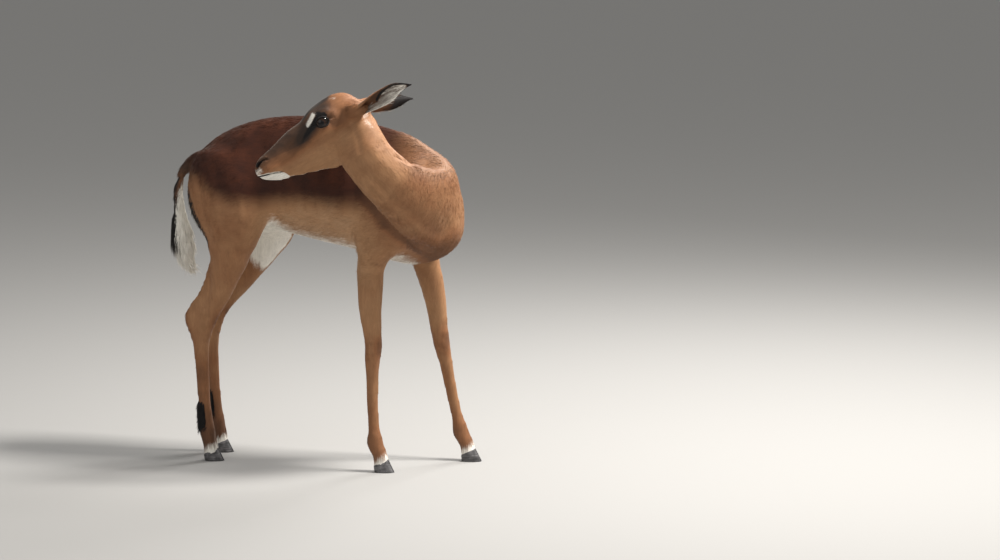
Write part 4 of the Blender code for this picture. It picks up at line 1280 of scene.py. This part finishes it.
# %% The coat's colours
FAWN = [(0.10, (0.56, 0.37, 0.225)), (0.42, (0.395, 0.212, 0.104)),
        (0.62, (0.270, 0.119, 0.053)), (0.80, (0.110, 0.051, 0.027)),
        (0.95, (0.040, 0.024, 0.017))]                       # by tone
SADDLE = [(0.30, (0.036, 0.0088, 0.0034)), (0.55, (0.052, 0.0130, 0.0048)),
          (0.75, (0.072, 0.0190, 0.0070))]                   # by a broad noise
WHITE, BLACK = (0.88, 0.845, 0.77), (0.010, 0.008, 0.008)
FINE_HAIRS, LOCKS, PATCHES = (620.0, 2.0), (150.0, 3.0), (24.0, 3.0)   # noise scale and detail


def blend(tree, share, below, above):
    """One colour over another, by a share."""
    made = node(tree, "ShaderNodeMix", ("data_type", "RGBA"))
    for value, number in ((share, 0), (below, 6), (above, 7)):
        put(tree, (*value, 1) if isinstance(value, tuple) else value, made.inputs[number])
    return made.outputs[2]


def marking_group():
    group = bpy.data.node_groups.new("coat_colours", "ShaderNodeTree")
    group.interface.new_socket("Colour", in_out="OUTPUT", socket_type="NodeSocketColor")
    group.interface.new_socket("Hairs", in_out="OUTPUT", socket_type="NodeSocketFloat")
    out = group.nodes.new("NodeGroupOutput")
    strands = attribute(group, "strands").outputs["Vector"]
    marks = attribute(group, "marks").outputs
    channels = node(group, "ShaderNodeSeparateColor", Color=marks["Color"]).outputs
    fine, locks = noise(group, strands, *FINE_HAIRS), noise(group, strands, *LOCKS)
    patches = noise(group, own_place(group), *PATCHES)
    hairs = calc(group, "MULTIPLY_ADD", locks, 0.6, calc(group, "MULTIPLY", fine, 0.4))
    tone = calc(group, "ADD", marks["Alpha"], calc(group, "MULTIPLY_ADD", patches, 0.22, -0.11))
    colour = colour_ramp(group, tone, FAWN)
    # Each marking's number becomes a share, its edge broken up by the hairs.
    for channel, raggedness, low, high, over in (
            ("Red", 0.40, 0.10, 0.90, colour_ramp(group, patches, SADDLE)),
            ("Green", 0.95, 0.26, 0.74, WHITE), ("Blue", 0.80, 0.28, 0.72, BLACK)):
        shift = calc(group, "MULTIPLY_ADD", hairs, raggedness, -0.5 * raggedness)
        share = node(group, "ShaderNodeMapRange", ("interpolation_type", "SMOOTHSTEP"),
                     Value=calc(group, "ADD", channels[channel], shift),
                     From_Min=low, From_Max=high)
        colour = blend(group, share.outputs["Result"], colour, over)
    streaks = calc(group, "MULTIPLY", calc(group, "MULTIPLY_ADD", fine, 0.34, 0.60),
                   calc(group, "MULTIPLY_ADD", locks, 0.5, 0.98))
    streaked = node(group, "ShaderNodeVectorMath", ("operation", "SCALE"), i0=colour,
                    Scale=streaks)
    put(group, streaked.outputs[0], out.inputs["Colour"])
    put(group, hairs, out.inputs["Hairs"])
    return group


colours = marking_group()
COAT_GLOSS, SHEEN_ROUGHNESS, SHEEN_TINT = 0.22, 0.40, (1.0, 0.86, 0.74, 1)
HAIR_RELIEF = 0.0012


def coat_material(name, roughness, bump, sheen):
    made, tree, shader = new_material(name, roughness)
    group = tree.nodes.new("ShaderNodeGroup")
    group.node_tree = colours
    raised = node(tree, "ShaderNodeBump", Height=group.outputs["Hairs"], Strength=bump,
                  Distance=HAIR_RELIEF)
    for name, value in (("Base Color", group.outputs["Colour"]),
                        ("Normal", raised.outputs["Normal"]),
                        ("Specular IOR Level", COAT_GLOSS), ("Sheen Weight", sheen),
                        ("Sheen Roughness", SHEEN_ROUGHNESS), ("Sheen Tint", SHEEN_TINT)):
        put(tree, value, shader.inputs[name])
    return made


skin.data.materials.clear()
skin.data.materials.append(coat_material("short_coat", 0.57, 0.55, 0.08))
skin.data.shade_smooth()
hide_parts(*FLESH)
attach(skin, "root")
print("skin finished:", sum(len(p.vertices) - 2 for p in skin.data.polygons), "triangles")

# %% [markdown]
# The ears carry marks of their own in the same four numbers: rufous backs with black tips,
# a black line inside the upper rim, and a pale hollow where the gristle shows darker. A
# rim's share across the ear becomes a distance by the ear's half width.

# %% Mark the ears
EAR_HALF_WIDTH, EAR_LENGTH = 0.02, 0.13
EAR_FOLD = [(0.0, 0.05), (0.20, -0.10), (0.36, -0.40), (0.44, -0.15), (0.54, 0.15),
            (0.64, 0.38), (0.80, 0.60), (1.0, 0.75)]       # how far down the rolled rim reaches


def mark_ear(side):
    shell, facts = ears[side]
    t, rim, inner = facts.T
    fold = np.interp(t, *zip(*EAR_FOLD))
    rolled = inner * edge((rim - fold) * EAR_HALF_WIDTH, 0.003) * (t < 0.93)
    tip = edge((t - 0.66 - 0.10 * rim) * EAR_LENGTH, 0.034)
    rim_line = inner * edge(0.0024 - np.abs(rim - fold) * EAR_HALF_WIDTH, 0.0014) * \
        ramp(t, 0.36, 0.44)
    black = layered(tip * (1 - inner), inner * edge((t - 0.93) * EAR_LENGTH, 0.004), rim_line,
                    rolled * ramp(t, 0.60, 0.76))
    white = inner * (1 - black) * (1 - rolled) * (0.66 - 0.24 * np.abs(np.sin(rim * 8.0)))
    low_rim = edge((-rim - 0.90) * EAR_HALF_WIDTH, 0.002) * ramp(t, 0.15, 0.3) * \
        fall(t, 0.84, 0.92)
    tone = 0.52 + 0.22 * ramp(t, 0.1, 0.6) + 0.10 * inner
    marks = np.stack([np.zeros(len(t)), np.maximum(white, low_rim), black, tone], 1)
    strands = to_head(points_of(shell.data)) * np.array([SQUEEZE, 1, 1])
    keep_values(shell.data, "marks", "FLOAT_COLOR", marks)
    keep_values(shell.data, "strands", "FLOAT_VECTOR", strands)
    return marks, strands


ear_coat = coat_material("ear_coat", 0.60, 0.35, 0.10)
ear_marks = {}
for side, word in SIDES:
    ear_marks[side] = mark_ear(side)
    ears[side][0].data.materials.append(ear_coat)
print("ears marked")

# %% [markdown]
# The coat is made of small solid tufts: spikes with a three-cornered root that start just
# under the skin and lie along it. The shortest have four faces; longer hair gets a bend
# and ten. They are built as whole arrays, since there are a great many. Each tuft takes
# its root's marks, so skin and coat agree, and its shading partly follows the skin.
# For the bake, a tuft's own map is a tiny patch at its root's place on an unwrap of the
# body: each part is unrolled round its middle line into a strip of the map.

# %% Unroll the body for the coat's map
TRUNK_LINE = np.array([(-0.36, 0, 0.66), (0.10, 0, 0.68), (0.25, -0.02, 0.66),
                       (0.33, -0.05, 0.60)])
HEAD_LINE = np.array([on_head(-0.03, -0.03, 0), on_head(0.30, -0.015, 0)]) - MOVE
STRIP_GAP = 0.004                     # kept free round each strip
STRIPS = {"trunk": (0.00, 0.00, 0.49, 0.49), "neck": (0.50, 0.00, 0.23, 0.49),
          "head": (0.74, 0.00, 0.25, 0.49), "tail": (0.00, 0.50, 0.09, 0.49)}
PART_LINES = {"trunk": TRUNK_LINE, "neck": NECK_LINE, "head": HEAD_LINE, "tail": TAIL_LINE}


def leg_line(name):
    low, high = (np.array(corner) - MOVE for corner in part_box(name))
    x, y = (low[0] + high[0]) / 2, (low[1] + high[1]) / 2
    return np.array([(x, y, high[2]), (x, y, low[2])])


for k, name in enumerate(LEGS):
    PART_LINES[name] = leg_line(name)
    STRIPS[name] = (0.10 + 0.098 * k, 0.50, 0.092, 0.49)


def unroll(points, parts):
    """Place of each point on the body's unwrap."""
    own = points - MOVE
    spots = np.zeros((len(points), 2))
    for k, name in enumerate(FLESH):
        mine = parts == k
        line = PART_LINES[name]
        run, way, off = along_line(own[mine], line)
        side = np.cross(way, (0.30, 0.05, 0.95) if name in ("trunk", "head") else (1, 0.1, 0))
        side /= np.linalg.norm(side, axis=1)[:, None]
        front = np.cross(side, way)
        angle = np.arctan2(np.sum(off * side, 1), np.sum(off * front, 1)) / math.tau + 0.5
        u, v, wide, tall = STRIPS[name]
        share = np.clip(run / line_length(line), 0, 1)
        spots[mine, 0] = u + STRIP_GAP + (wide - 2 * STRIP_GAP) * angle
        spots[mine, 1] = v + STRIP_GAP + (tall - 2 * STRIP_GAP) * share
    return spots


print("strips of the unwrap:", len(STRIPS))

# %% Scatter roots over a mesh
SKIN = {"points": points_of(skin.data), "normals": normals_of(skin.data), "way": way,
        "marks": marks, "strands": squeezed, "spots": unroll(points_of(skin.data), parts)}


def scatter(mesh, facts, count, weight, seed):
    """Roots spread over the mesh's triangles, denser where the weight is higher."""
    chance = np.random.default_rng(seed)
    mesh.calc_loop_triangles()
    corners = read(mesh.loop_triangles, "vertices", 3, int)
    a, b, c = (facts["points"][corners[:, k]] for k in range(3))
    area = np.linalg.norm(np.cross(b - a, c - a), axis=1) * weight[corners].min(1)
    chosen = corners[chance.choice(len(corners), count, p=area / area.sum())]
    share = chance.random((count, 2))
    share[:, 0] = np.sqrt(share[:, 0])
    mix = np.stack([1 - share[:, 0], share[:, 0] * (1 - share[:, 1]), share[:, 0] * share[:, 1]], 1)
    whole = ("spots", "part", "own_side")                # not mixed between corners
    roots = {key: values[chosen[:, 0]] if key in whole
             else np.einsum("nk,nkd->nd", mix, values[chosen]) for key, values in facts.items()}
    return roots, chance


print("unroll covers", SKIN["spots"].min(0).round(2), "to", SKIN["spots"].max(0).round(2))

# %% [markdown]
# A tuft's root is a flat triangle with a low ridge, which sits a little under the skin. Its
# faces would each shine alone, so their normals are mixed with the skin's, but only on
# faces that look outwards: a face that looks down keeps its own normal, and stays dark.

# %% Grow a tuft from each root
# Faces of a straight and of a bent tuft, and each point's place on the tuft's own map.
STRAIGHT_TUFT = ([(1, 0, 3), (2, 1, 3), (0, 2, 3), (2, 0, 1)],
                 [(-1, -1), (0, -1), (1, -1), (0, 1)])
BENT_TUFT = ([(1, 0, 4), (4, 0, 3), (2, 1, 5), (5, 1, 4), (0, 2, 3), (3, 2, 5),
              (4, 3, 6), (5, 4, 6), (3, 5, 6), (2, 0, 1)],
             [(-1, -1), (0, -1), (1, -1), (-1, 0), (0, 0), (1, 0), (0, 1)])
MAP_PATCH, ROOT_DEPTH, SKIN_SHARE = 0.0015, 0.0005, 0.50


def unit(vectors):
    return vectors / np.maximum(np.linalg.norm(vectors, axis=1), 1e-9)[:, None]


def turned(vectors, axes, angles):
    """Vectors turned round axes at right angles to them."""
    return vectors * np.cos(angles)[:, None] + np.cross(axes, vectors) * np.sin(angles)[:, None]


def tuft_points(roots, chance, length, width, lift, bend, stray):
    """Every tuft's points, with the skin's normal and the way across at its root."""
    n = len(roots["points"])
    length, width, lift = (np.broadcast_to(np.asarray(v, float), (n,)).copy()
                           for v in (length, width, lift))
    length *= 0.75 + 0.5 * chance.random(n)
    width *= 0.8 + 0.4 * chance.random(n)
    up = unit(roots["normals"])
    lie = unit(turned(unit(roots["way"]), up, chance.normal(0, stray, n)))
    side = np.cross(up, lie)
    base = roots["points"] - up * ROOT_DEPTH
    tip = base + lie * length[:, None] + up * (lift * length + ROOT_DEPTH * 0.6)[:, None]
    tip += side * (chance.normal(0, 0.08, n) * length)[:, None]
    half, ridge = (width / 2)[:, None], (width * 0.30)[:, None]
    rings = [(base, 1.0)]
    if bend is not None:
        bend = np.broadcast_to(np.asarray(bend, float), (n,))
        rings.append((base + lie * (length * 0.5)[:, None] + up * (bend * length)[:, None], 0.8))
    points = []
    for centre, size in rings:
        points += [centre - side * half * size, centre + up * ridge * size,
                   centre + side * half * size]
    return np.stack(points + [tip], 1), up, side


def tuft_normals(points, faces, up, side):
    """A normal for every corner, between the skin's and the face's own."""
    n, per = points.shape[:2]
    tilt = np.tile(np.array([-0.3, 0.0, 0.3] * (per // 3) + [0.0]), n)[:, None]
    soft = unit(np.repeat(up, per, axis=0) + np.repeat(side, per, axis=0) * tilt)
    faces = np.array(faces)
    a, b, c = (points[:, faces[:, k]] for k in range(3))
    own = np.cross(b - a, c - a)
    own /= np.maximum(np.linalg.norm(own, axis=2), 1e-12)[..., None]
    share = SKIN_SHARE * ramp(np.sum(own * up[:, None], 2), 0.0, 0.5)[..., None, None]
    return soft.reshape(n, per, 3)[:, faces] * share + own[:, :, None] * (1 - share)


def tufts(name, roots, chance, length, width, lift, bend=None, stray=0.16, material=None):
    """One mesh of closed tufts. lift is the tip's height in shares of the length; with
    bend, a middle ring rises by that share too, and the tuft curves back to the skin."""
    points, up, side = tuft_points(roots, chance, length, width, lift, bend, stray)
    faces, patch = STRAIGHT_TUFT if bend is None else BENT_TUFT
    n, per = points.shape[:2]
    flat = ((np.arange(n) * per)[:, None, None] + np.array(faces)[None]).reshape(-1)
    mesh = bpy.data.meshes.new(name)
    mesh.vertices.add(n * per)
    mesh.vertices.foreach_set("co", points.astype(np.float32).ravel())
    mesh.loops.add(len(flat))
    mesh.loops.foreach_set("vertex_index", flat.astype(np.int32))
    mesh.polygons.add(len(flat) // 3)
    mesh.polygons.foreach_set("loop_start", np.arange(0, len(flat), 3, dtype=np.int32))
    mesh.update(calc_edges=True)
    keep_values(mesh, "marks", "FLOAT_COLOR", np.repeat(roots["marks"], per, axis=0))
    keep_values(mesh, "strands", "FLOAT_VECTOR", np.repeat(roots["strands"], per, axis=0))
    spots = (roots["spots"][:, None] + np.array(patch)[None] * MAP_PATCH).reshape(-1, 2)
    mesh.uv_layers.new(name="OFBake").data.foreach_set(
        "uv", spots[flat].astype(np.float32).ravel())
    mesh.shade_smooth()
    normals = tuft_normals(points, faces, up, side)
    mesh.normals_split_custom_set(normals.reshape(-1, 3).astype(np.float32))
    mesh.materials.append(material)
    obj = link(name, mesh)
    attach(obj, "root")
    print(name, n, "tufts,", len(flat) // 3, "triangles")
    return obj

# %% [markdown]
# The short coat. Length, width and closeness follow the body: about a centimetre and a
# half on trunk and neck, a few millimetres on the face and feet. Around the lids, lips
# and nostrils, and on the tail, nothing short grows.

# %% Short coat over the whole body
COAT_SIZES = {"trunk": (14, 1.5), "neck": (13, 1.4), "head": (6.0, 0.9), "tail": (10, 1.4),
              "foreleg": (8.5, 1.0), "hindleg": (9.5, 1.1)}      # length and width, millimetres
SHORT_TUFTS, SHORT_LIFT, HOOF_TOP = 150000, 0.026, 0.030
PART_NAMES = np.array([name.split("_")[0] for name in FLESH])


def short_coat_sizes(points, parts):
    """Length and width of the tufts in metres, and how closely they stand."""
    sizes = np.array([COAT_SIZES[name] for name in PART_NAMES], float)[parts]
    long, wide = smooth_values(sizes, edges_of(skin.data), 25).T
    head, legs = in_part(parts, "head"), in_part(parts, "foreleg", "hindleg")
    low = fall((points - MOVE)[:, 2], 0.05, 0.20) * legs
    long, wide = long * (1 - 0.40 * low), wide * (1 - 0.25 * low)
    at = to_head(points)
    face = ramp(at[:, 0], 0.06, 0.25) * head
    long, wide = long * (1 - 0.45 * face), wide * (1 - 0.30 * face)
    bare = (near_line(at[:, :2], MOUTH) < 0.0035) | (near_line(at[:, :2], NOSTRIL) < 0.0060)
    bare |= (at[:, 0] > 0.274) & (at[:, 1] > -0.010)
    bare = head & bare | in_part(parts, "tail") | (points[:, 2] < HOOF_TOP)
    for side, _ in SIDES:
        inside, _, _, _, length = eye_field(points, side)
        bare |= (inside > -0.0032) & (length < 0.03)
    return long / 1000, wide / 1000, np.where(bare, 0, 1 / (long * wide))


coat = coat_material("coat_tufts", 0.57, 0.20, 0.08)
lengths, widths, close = short_coat_sizes(SKIN["points"], parts)
own_y = SKIN["points"][:, 1] - MOVE[1] - spine_turn(SKIN["points"][:, 0] - MOVE[0])
tail_skin = dict(SKIN)
SKIN["sizes"] = np.stack([lengths, widths], 1)
SKIN["own_side"] = (own_y > 0).astype(float)[:, None]
SKIN["part"] = parts.astype(float)[:, None]
roots, chance = scatter(skin.data, SKIN, SHORT_TUFTS, close, seed=11)
part = PART_NAMES[roots.pop("part")[:, 0].astype(int)]
left_half = roots.pop("own_side")[:, 0] > 0.5
PIECES = {"coat_trunk_right": (part == "trunk") & ~left_half,
          "coat_trunk_left": (part == "trunk") & left_half, "coat_neck": part == "neck",
          "coat_head": part == "head", "coat_forelegs": part == "foreleg",
          "coat_hindlegs": part == "hindleg"}
for name, chosen in PIECES.items():
    own_roots = {key: values[chosen] for key, values in roots.items()}
    length, width = own_roots.pop("sizes").T
    tufts(name, own_roots, chance, length, width, SHORT_LIFT, material=coat)

# %% [markdown]
# Longer hair breaks the outline: down the nape and throat, over the withers, on the
# brisket, along the belly, on the elbows and behind the thighs. These tufts have the bend,
# stand off the skin a little and let the light through between them.

# %% Longer hair where the coat breaks the outline
OUTLINE_TUFTS = 15000
MANE = [(0.155, -0.165, 0.885), (0.190, -0.148, 0.835), (0.225, -0.125, 0.775),
        (0.262, -0.105, 0.738)]
ELBOW = [(0.115, -0.085, 0.520), (0.120, -0.085, 0.470)]
own, facing = SKIN["points"] - MOVE, SKIN["normals"]
barrel = in_part(parts, "trunk", "neck")
rear = in_part(parts, "trunk", "hindleg") * (own[:, 2] > 0.30) * ramp(-own[:, 0], 0.20, 0.26)
fringe = 1.6 * fall(near_line(own, MANE), 0.012, 0.035) * in_part(parts, "neck", "head", "trunk")
fringe += 1.2 * ramp(-facing[:, 2], 0.35, 0.85) * barrel                          # belly
fringe += 0.6 * ramp(facing[:, 2], 0.55, 0.90) * in_part(parts, "trunk")          # back
fringe += 1.2 * ramp(-facing[:, 0], 0.35, 0.85) * rear                            # thighs
fringe += 0.15 * ramp(facing[:, 0], 0.35, 0.85) * barrel                          # chest
fringe += 1.3 * fall(near_line(own, ELBOW), 0.010, 0.035)
roots, chance = scatter(skin.data, SKIN, OUTLINE_TUFTS, fringe * (close > 0), seed=21)
length, width = roots["sizes"].T
tufts("coat_outline", roots, chance, length * 1.20, width * 0.80, 0.085, bend=0.055,
      material=coat)

# %% [markdown]
# The tail. Under long hair the dock is thin, so the skin there was drawn in. Locks start
# all along it and hang down over one another: dark down the outer rear, white on the sides
# and below, and ragged at the end, where some are almost black.

# %% Tail hair
TAIL_TUFTS = 5200
on_tail = in_part(parts, "tail").astype(float)
roots, chance = scatter(skin.data, tail_skin, TAIL_TUFTS, on_tail, seed=32)
roots["marks"], t = tail_marks(roots["points"])
lengths = 0.022 + 0.030 * ramp(t, 0.15, 0.75) - 0.008 * ramp(t, 0.85, 1.0)
tail_coat = coat_material("tail_hair", 0.48, 0.10, 0.15)
swell = ramp(t, 0.30, 0.70) * fall(t, 0.80, 1.0)
tufts("tail_locks", roots, chance, lengths, 0.0019 + 0.0006 * t, 0.09 + 0.12 * swell,
      bend=0.12 + 0.08 * swell, stray=0.08, material=tail_coat)

# %% [markdown]
# Above each hind fetlock lies a scent gland, under a brush of black hair of its own.

# %% Black tufts of the scent glands
GLAND_TUFTS = 1500
roots, chance = scatter(skin.data, tail_skin, GLAND_TUFTS, gland, seed=41)
roots["marks"][:, 2] = 1.0
tufts("gland_tufts", roots, chance, 0.018, 0.0018, 0.30, bend=0.24, stray=0.22, material=coat)

# %% [markdown]
# The ears wear short hair behind and pale locks inside that fan out from the root and thin
# towards the tip. Each ear has its own strip of the map.

# %% Hair of the ears
EAR_TUFTS, EAR_LOCKS = 3600, 280
EAR_STRIPS = {1: 0.888, -1: 0.944}


def ear_facts(side):
    """What the scatter needs to know of an ear: places, lie, marks and its own map strip."""
    shell, facts = ears[side]
    points, normals = points_of(shell.data), normals_of(shell.data)
    t, rim, inner = facts.T
    marks, strands = ear_marks[side]
    spots = np.stack([EAR_STRIPS[side] + 0.004 + 0.044 * (rim * 0.25 + 0.25 + 0.5 * inner),
                      0.504 + 0.482 * t], 1)
    return {"points": points, "normals": normals, "way": along_line(points, ear_line(side))[1],
            "marks": marks, "strands": strands, "spots": spots, "t": t[:, None]}, t, inner


for side, word in SIDES:
    shell = ears[side][0]
    facts, t, inner = ear_facts(side)
    clear = ramp(t, 0.12, 0.20)                          # below this the ear is in the head
    back_weight = ((1 - inner) + 0.02) * clear
    roots, chance = scatter(shell.data, facts, EAR_TUFTS, back_weight, seed=51 + side)
    shorter = 1 - 0.6 * ramp(roots["t"][:, 0], 0.75, 0.95)
    tufts("coat_ear_" + word, roots, chance, 0.0070 * shorter, 0.0010, 0.03, stray=0.12,
          material=ear_coat)
    pale = facts["marks"][:, 1] * inner * fall(t, 0.60, 0.86) * clear
    inside_weight = pale + 0.001 * clear
    roots, chance = scatter(shell.data, facts, EAR_LOCKS, inside_weight, seed=61 + side)
    shorter = 1 - 0.4 * ramp(roots["t"][:, 0], 0.4, 0.8)
    tufts("ear_locks_" + word, roots, chance, 0.015 * shorter, 0.0012, 0.07, bend=0.07, stray=0.13,
          material=ear_coat)

# %% [markdown]
# Where an ear leaves the head, hair of the head leans out along it and hides the seam.

# %% Hair that grows from the head over the ears' roots
EAR_ROOT_TUFTS = 1500
for side, word in SIDES:
    axis = ear_line(side)
    near_root = fall(near_line(SKIN["points"], axis[:2]), 0.018, 0.034)
    lean = axis[2] - axis[0]
    facts = dict(tail_skin)
    facts["way"] = unit(facts["way"] * 0.25 + lean / np.linalg.norm(lean))
    facts["way"] -= facts["normals"] * np.sum(facts["way"] * facts["normals"], 1)[:, None]
    roots, chance = scatter(skin.data, facts, EAR_ROOT_TUFTS,
                            near_root * in_part(parts, "head", "neck"), seed=71 + side)
    tufts("ear_root_hair_" + word, roots, chance, 0.011, 0.0012, 0.08, bend=0.07, stray=0.15,
          material=coat)

# %% [markdown]
# Lashes and whiskers are single bristles. A small tree of Geometry Nodes makes them: on
# each point of a loose mesh it sets a line, leans it the way the point says, lets it droop,
# and gives it a thickness that runs out to the tip.

# %% Bristles by Geometry Nodes
def bristle_tree():
    tree = bpy.data.node_groups.new("bristles", "GeometryNodeTree")
    tree.interface.new_socket("Geometry", in_out="OUTPUT", socket_type="NodeSocketGeometry")
    tree.interface.new_socket("Geometry", in_out="INPUT", socket_type="NodeSocketGeometry")
    for name, kind, value in (("Length", "Float", 0.01), ("Thickness", "Float", 0.0002),
                              ("Droop", "Float", 0.002), ("Seed", "Int", 5)):
        made = tree.interface.new_socket(name, in_out="INPUT", socket_type="NodeSocket" + kind)
        made.default_value = value
    tree.interface.new_socket("Finish", in_out="INPUT", socket_type="NodeSocketMaterial")
    return tree


def fill_bristle_tree(tree):
    given = node(tree, "NodeGroupInput").outputs
    # One straight line, set on each point, turned the way it leans and made longer or shorter.
    line = node(tree, "GeometryNodeCurvePrimitiveLine", End=(0, 0, 1))
    finer = node(tree, "GeometryNodeResampleCurve", Curve=line.outputs["Curve"], Count=6)
    lean = node(tree, "GeometryNodeInputNamedAttribute", ("data_type", "FLOAT_VECTOR"), Name="lean")
    turn = node(tree, "FunctionNodeAlignRotationToVector", ("axis", "Z"),
                Vector=lean.outputs["Attribute"])
    chance = node(tree, "FunctionNodeRandomValue", i2=0.6, i3=1.15, Seed=given["Seed"])
    spread = node(tree, "GeometryNodeInstanceOnPoints", Points=given["Geometry"],
                  Instance=finer.outputs["Curve"], Rotation=turn.outputs["Rotation"],
                  Scale=calc(tree, "MULTIPLY", given["Length"], chance.outputs[1]))
    real = node(tree, "GeometryNodeRealizeInstances", Geometry=spread.outputs["Instances"])
    # It droops with the square of the way along it.
    run = node(tree, "GeometryNodeSplineParameter").outputs["Factor"]
    droop = calc(tree, "MULTIPLY", calc(tree, "POWER", run, 2.0), given["Droop"])
    drop = node(tree, "ShaderNodeCombineXYZ", Z=calc(tree, "MULTIPLY", droop, -1.0))
    hang = node(tree, "GeometryNodeSetPosition", Geometry=real.outputs["Geometry"],
                Offset=drop.outputs["Vector"])
    # A ring runs along it, and narrows to the tip.
    taper = node(tree, "ShaderNodeMapRange", Value=run, To_Min=1.0, To_Max=0.12)
    ring = node(tree, "GeometryNodeCurvePrimitiveCircle", Resolution=4, Radius=given["Thickness"])
    tube = node(tree, "GeometryNodeCurveToMesh", Curve=hang.outputs["Geometry"],
                Profile_Curve=ring.outputs["Curve"], Scale=taper.outputs["Result"],
                Fill_Caps=True)
    last = node(tree, "GeometryNodeRealizeInstances", Geometry=tube.outputs["Mesh"])
    finish = node(tree, "GeometryNodeSetMaterial", Geometry=last.outputs["Geometry"],
                  Material=given["Finish"])
    node(tree, "NodeGroupOutput", Geometry=finish.outputs["Geometry"])


bristle = bristle_tree()
fill_bristle_tree(bristle)


def bristles(name, places, leans, colour, **sizes):
    """A plain mesh of bristles, from the tree's result at the given places."""
    seed_mesh = bpy.data.meshes.new(name)
    seed_mesh.from_pydata([tuple(p) for p in places], [], [])
    keep_values(seed_mesh, "lean", "FLOAT_VECTOR", np.array(leans))
    obj = link(name, seed_mesh)
    modifier = obj.modifiers.new("bristles", "NODES")
    modifier.node_group = bristle
    sockets = {item.name: item.identifier for item in bristle.interface.items_tree
               if item.in_out == "INPUT"}
    for key, value in sizes.items():
        modifier[sockets[key]] = value
    modifier[sockets["Finish"]] = colour
    mesh = applied(obj).data
    corner = read(mesh.loops, "vertex_index", kind=int)
    hair = corner // (len(mesh.vertices) // len(places))
    spots = np.stack([0.76 + 0.20 * hair / len(places), 0.47 + 0.0015 * (corner % 4 - 1.5)], 1)
    mesh.uv_layers.new(name="OFBake").data.foreach_set("uv", spots.astype(np.float32).ravel())
    faces_outward(mesh)
    if not mesh.materials:
        mesh.materials.append(colour)
    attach(obj, "root")
    print(name, len(places), "bristles,", len(mesh.polygons), "faces")

# %% Lashes and whiskers
LASHES, LASH_FROM, LASH_TO = 34, -0.0150, 0.0130
WHISKERS = 32
bristle_black = plain_material("bristle_black", (0.010, 0.009, 0.009), 0.45)


def lid_place(side, along, lift):
    """A point on the upper lid's edge, and the way out from the ball there."""
    bow = 1 - ((along - 0.0005) / HALF_EYE) ** 2
    across = LID_RISE * max(bow, 0) ** 0.75
    reach = math.hypot(along, across)
    turn = reach / EYE_RADIUS
    across_way = (EYE_LONG * along + EYE_SHORT * across) / max(reach, 1e-6)
    out = CHEEK * side * math.cos(turn) + across_way * math.sin(turn)
    return EYES[side] + out * (EYE_RADIUS + lift), out


chance = np.random.default_rng(81)
places, leans = [], []
for side, _ in SIDES:
    for along in np.linspace(LASH_FROM, LASH_TO, LASHES):
        place, out = lid_place(side, along + chance.normal(0, 0.0003), 0.0012)
        places.append(place)
        leans.append(out * 0.8 + EYE_SHORT * 0.55 - AHEAD * (0.25 + 6 * -along)
                     + chance.normal(0, 0.08, 3))
bristles("lashes", places, leans, bristle_black, Length=0.0085, Thickness=0.00022, Droop=0.0020)

at = to_head(SKIN["points"])
muzzle = (at[:, 0] > 0.240) & (at[:, 1] < 0.004) & (at[:, 1] > -0.052) & in_part(parts, "head") & \
    (np.abs(SKIN["normals"] @ CHEEK) > 0.35)
picked = chance.choice(np.flatnonzero(muzzle), WHISKERS, replace=False)
leans = SKIN["normals"][picked] * 0.8 - AHEAD * 0.5 + chance.normal(0, 0.2, (WHISKERS, 3))
bristles("whiskers", SKIN["points"][picked], leans, bristle_black, Length=0.014,
         Thickness=0.00012, Droop=0.0030)

# %% [markdown]
# Last, a helper rounds the corners of a box to five places.

# %% Sizes, and the end
def corners(box):
    return [[round(float(value), 5) for value in corner] for corner in box]
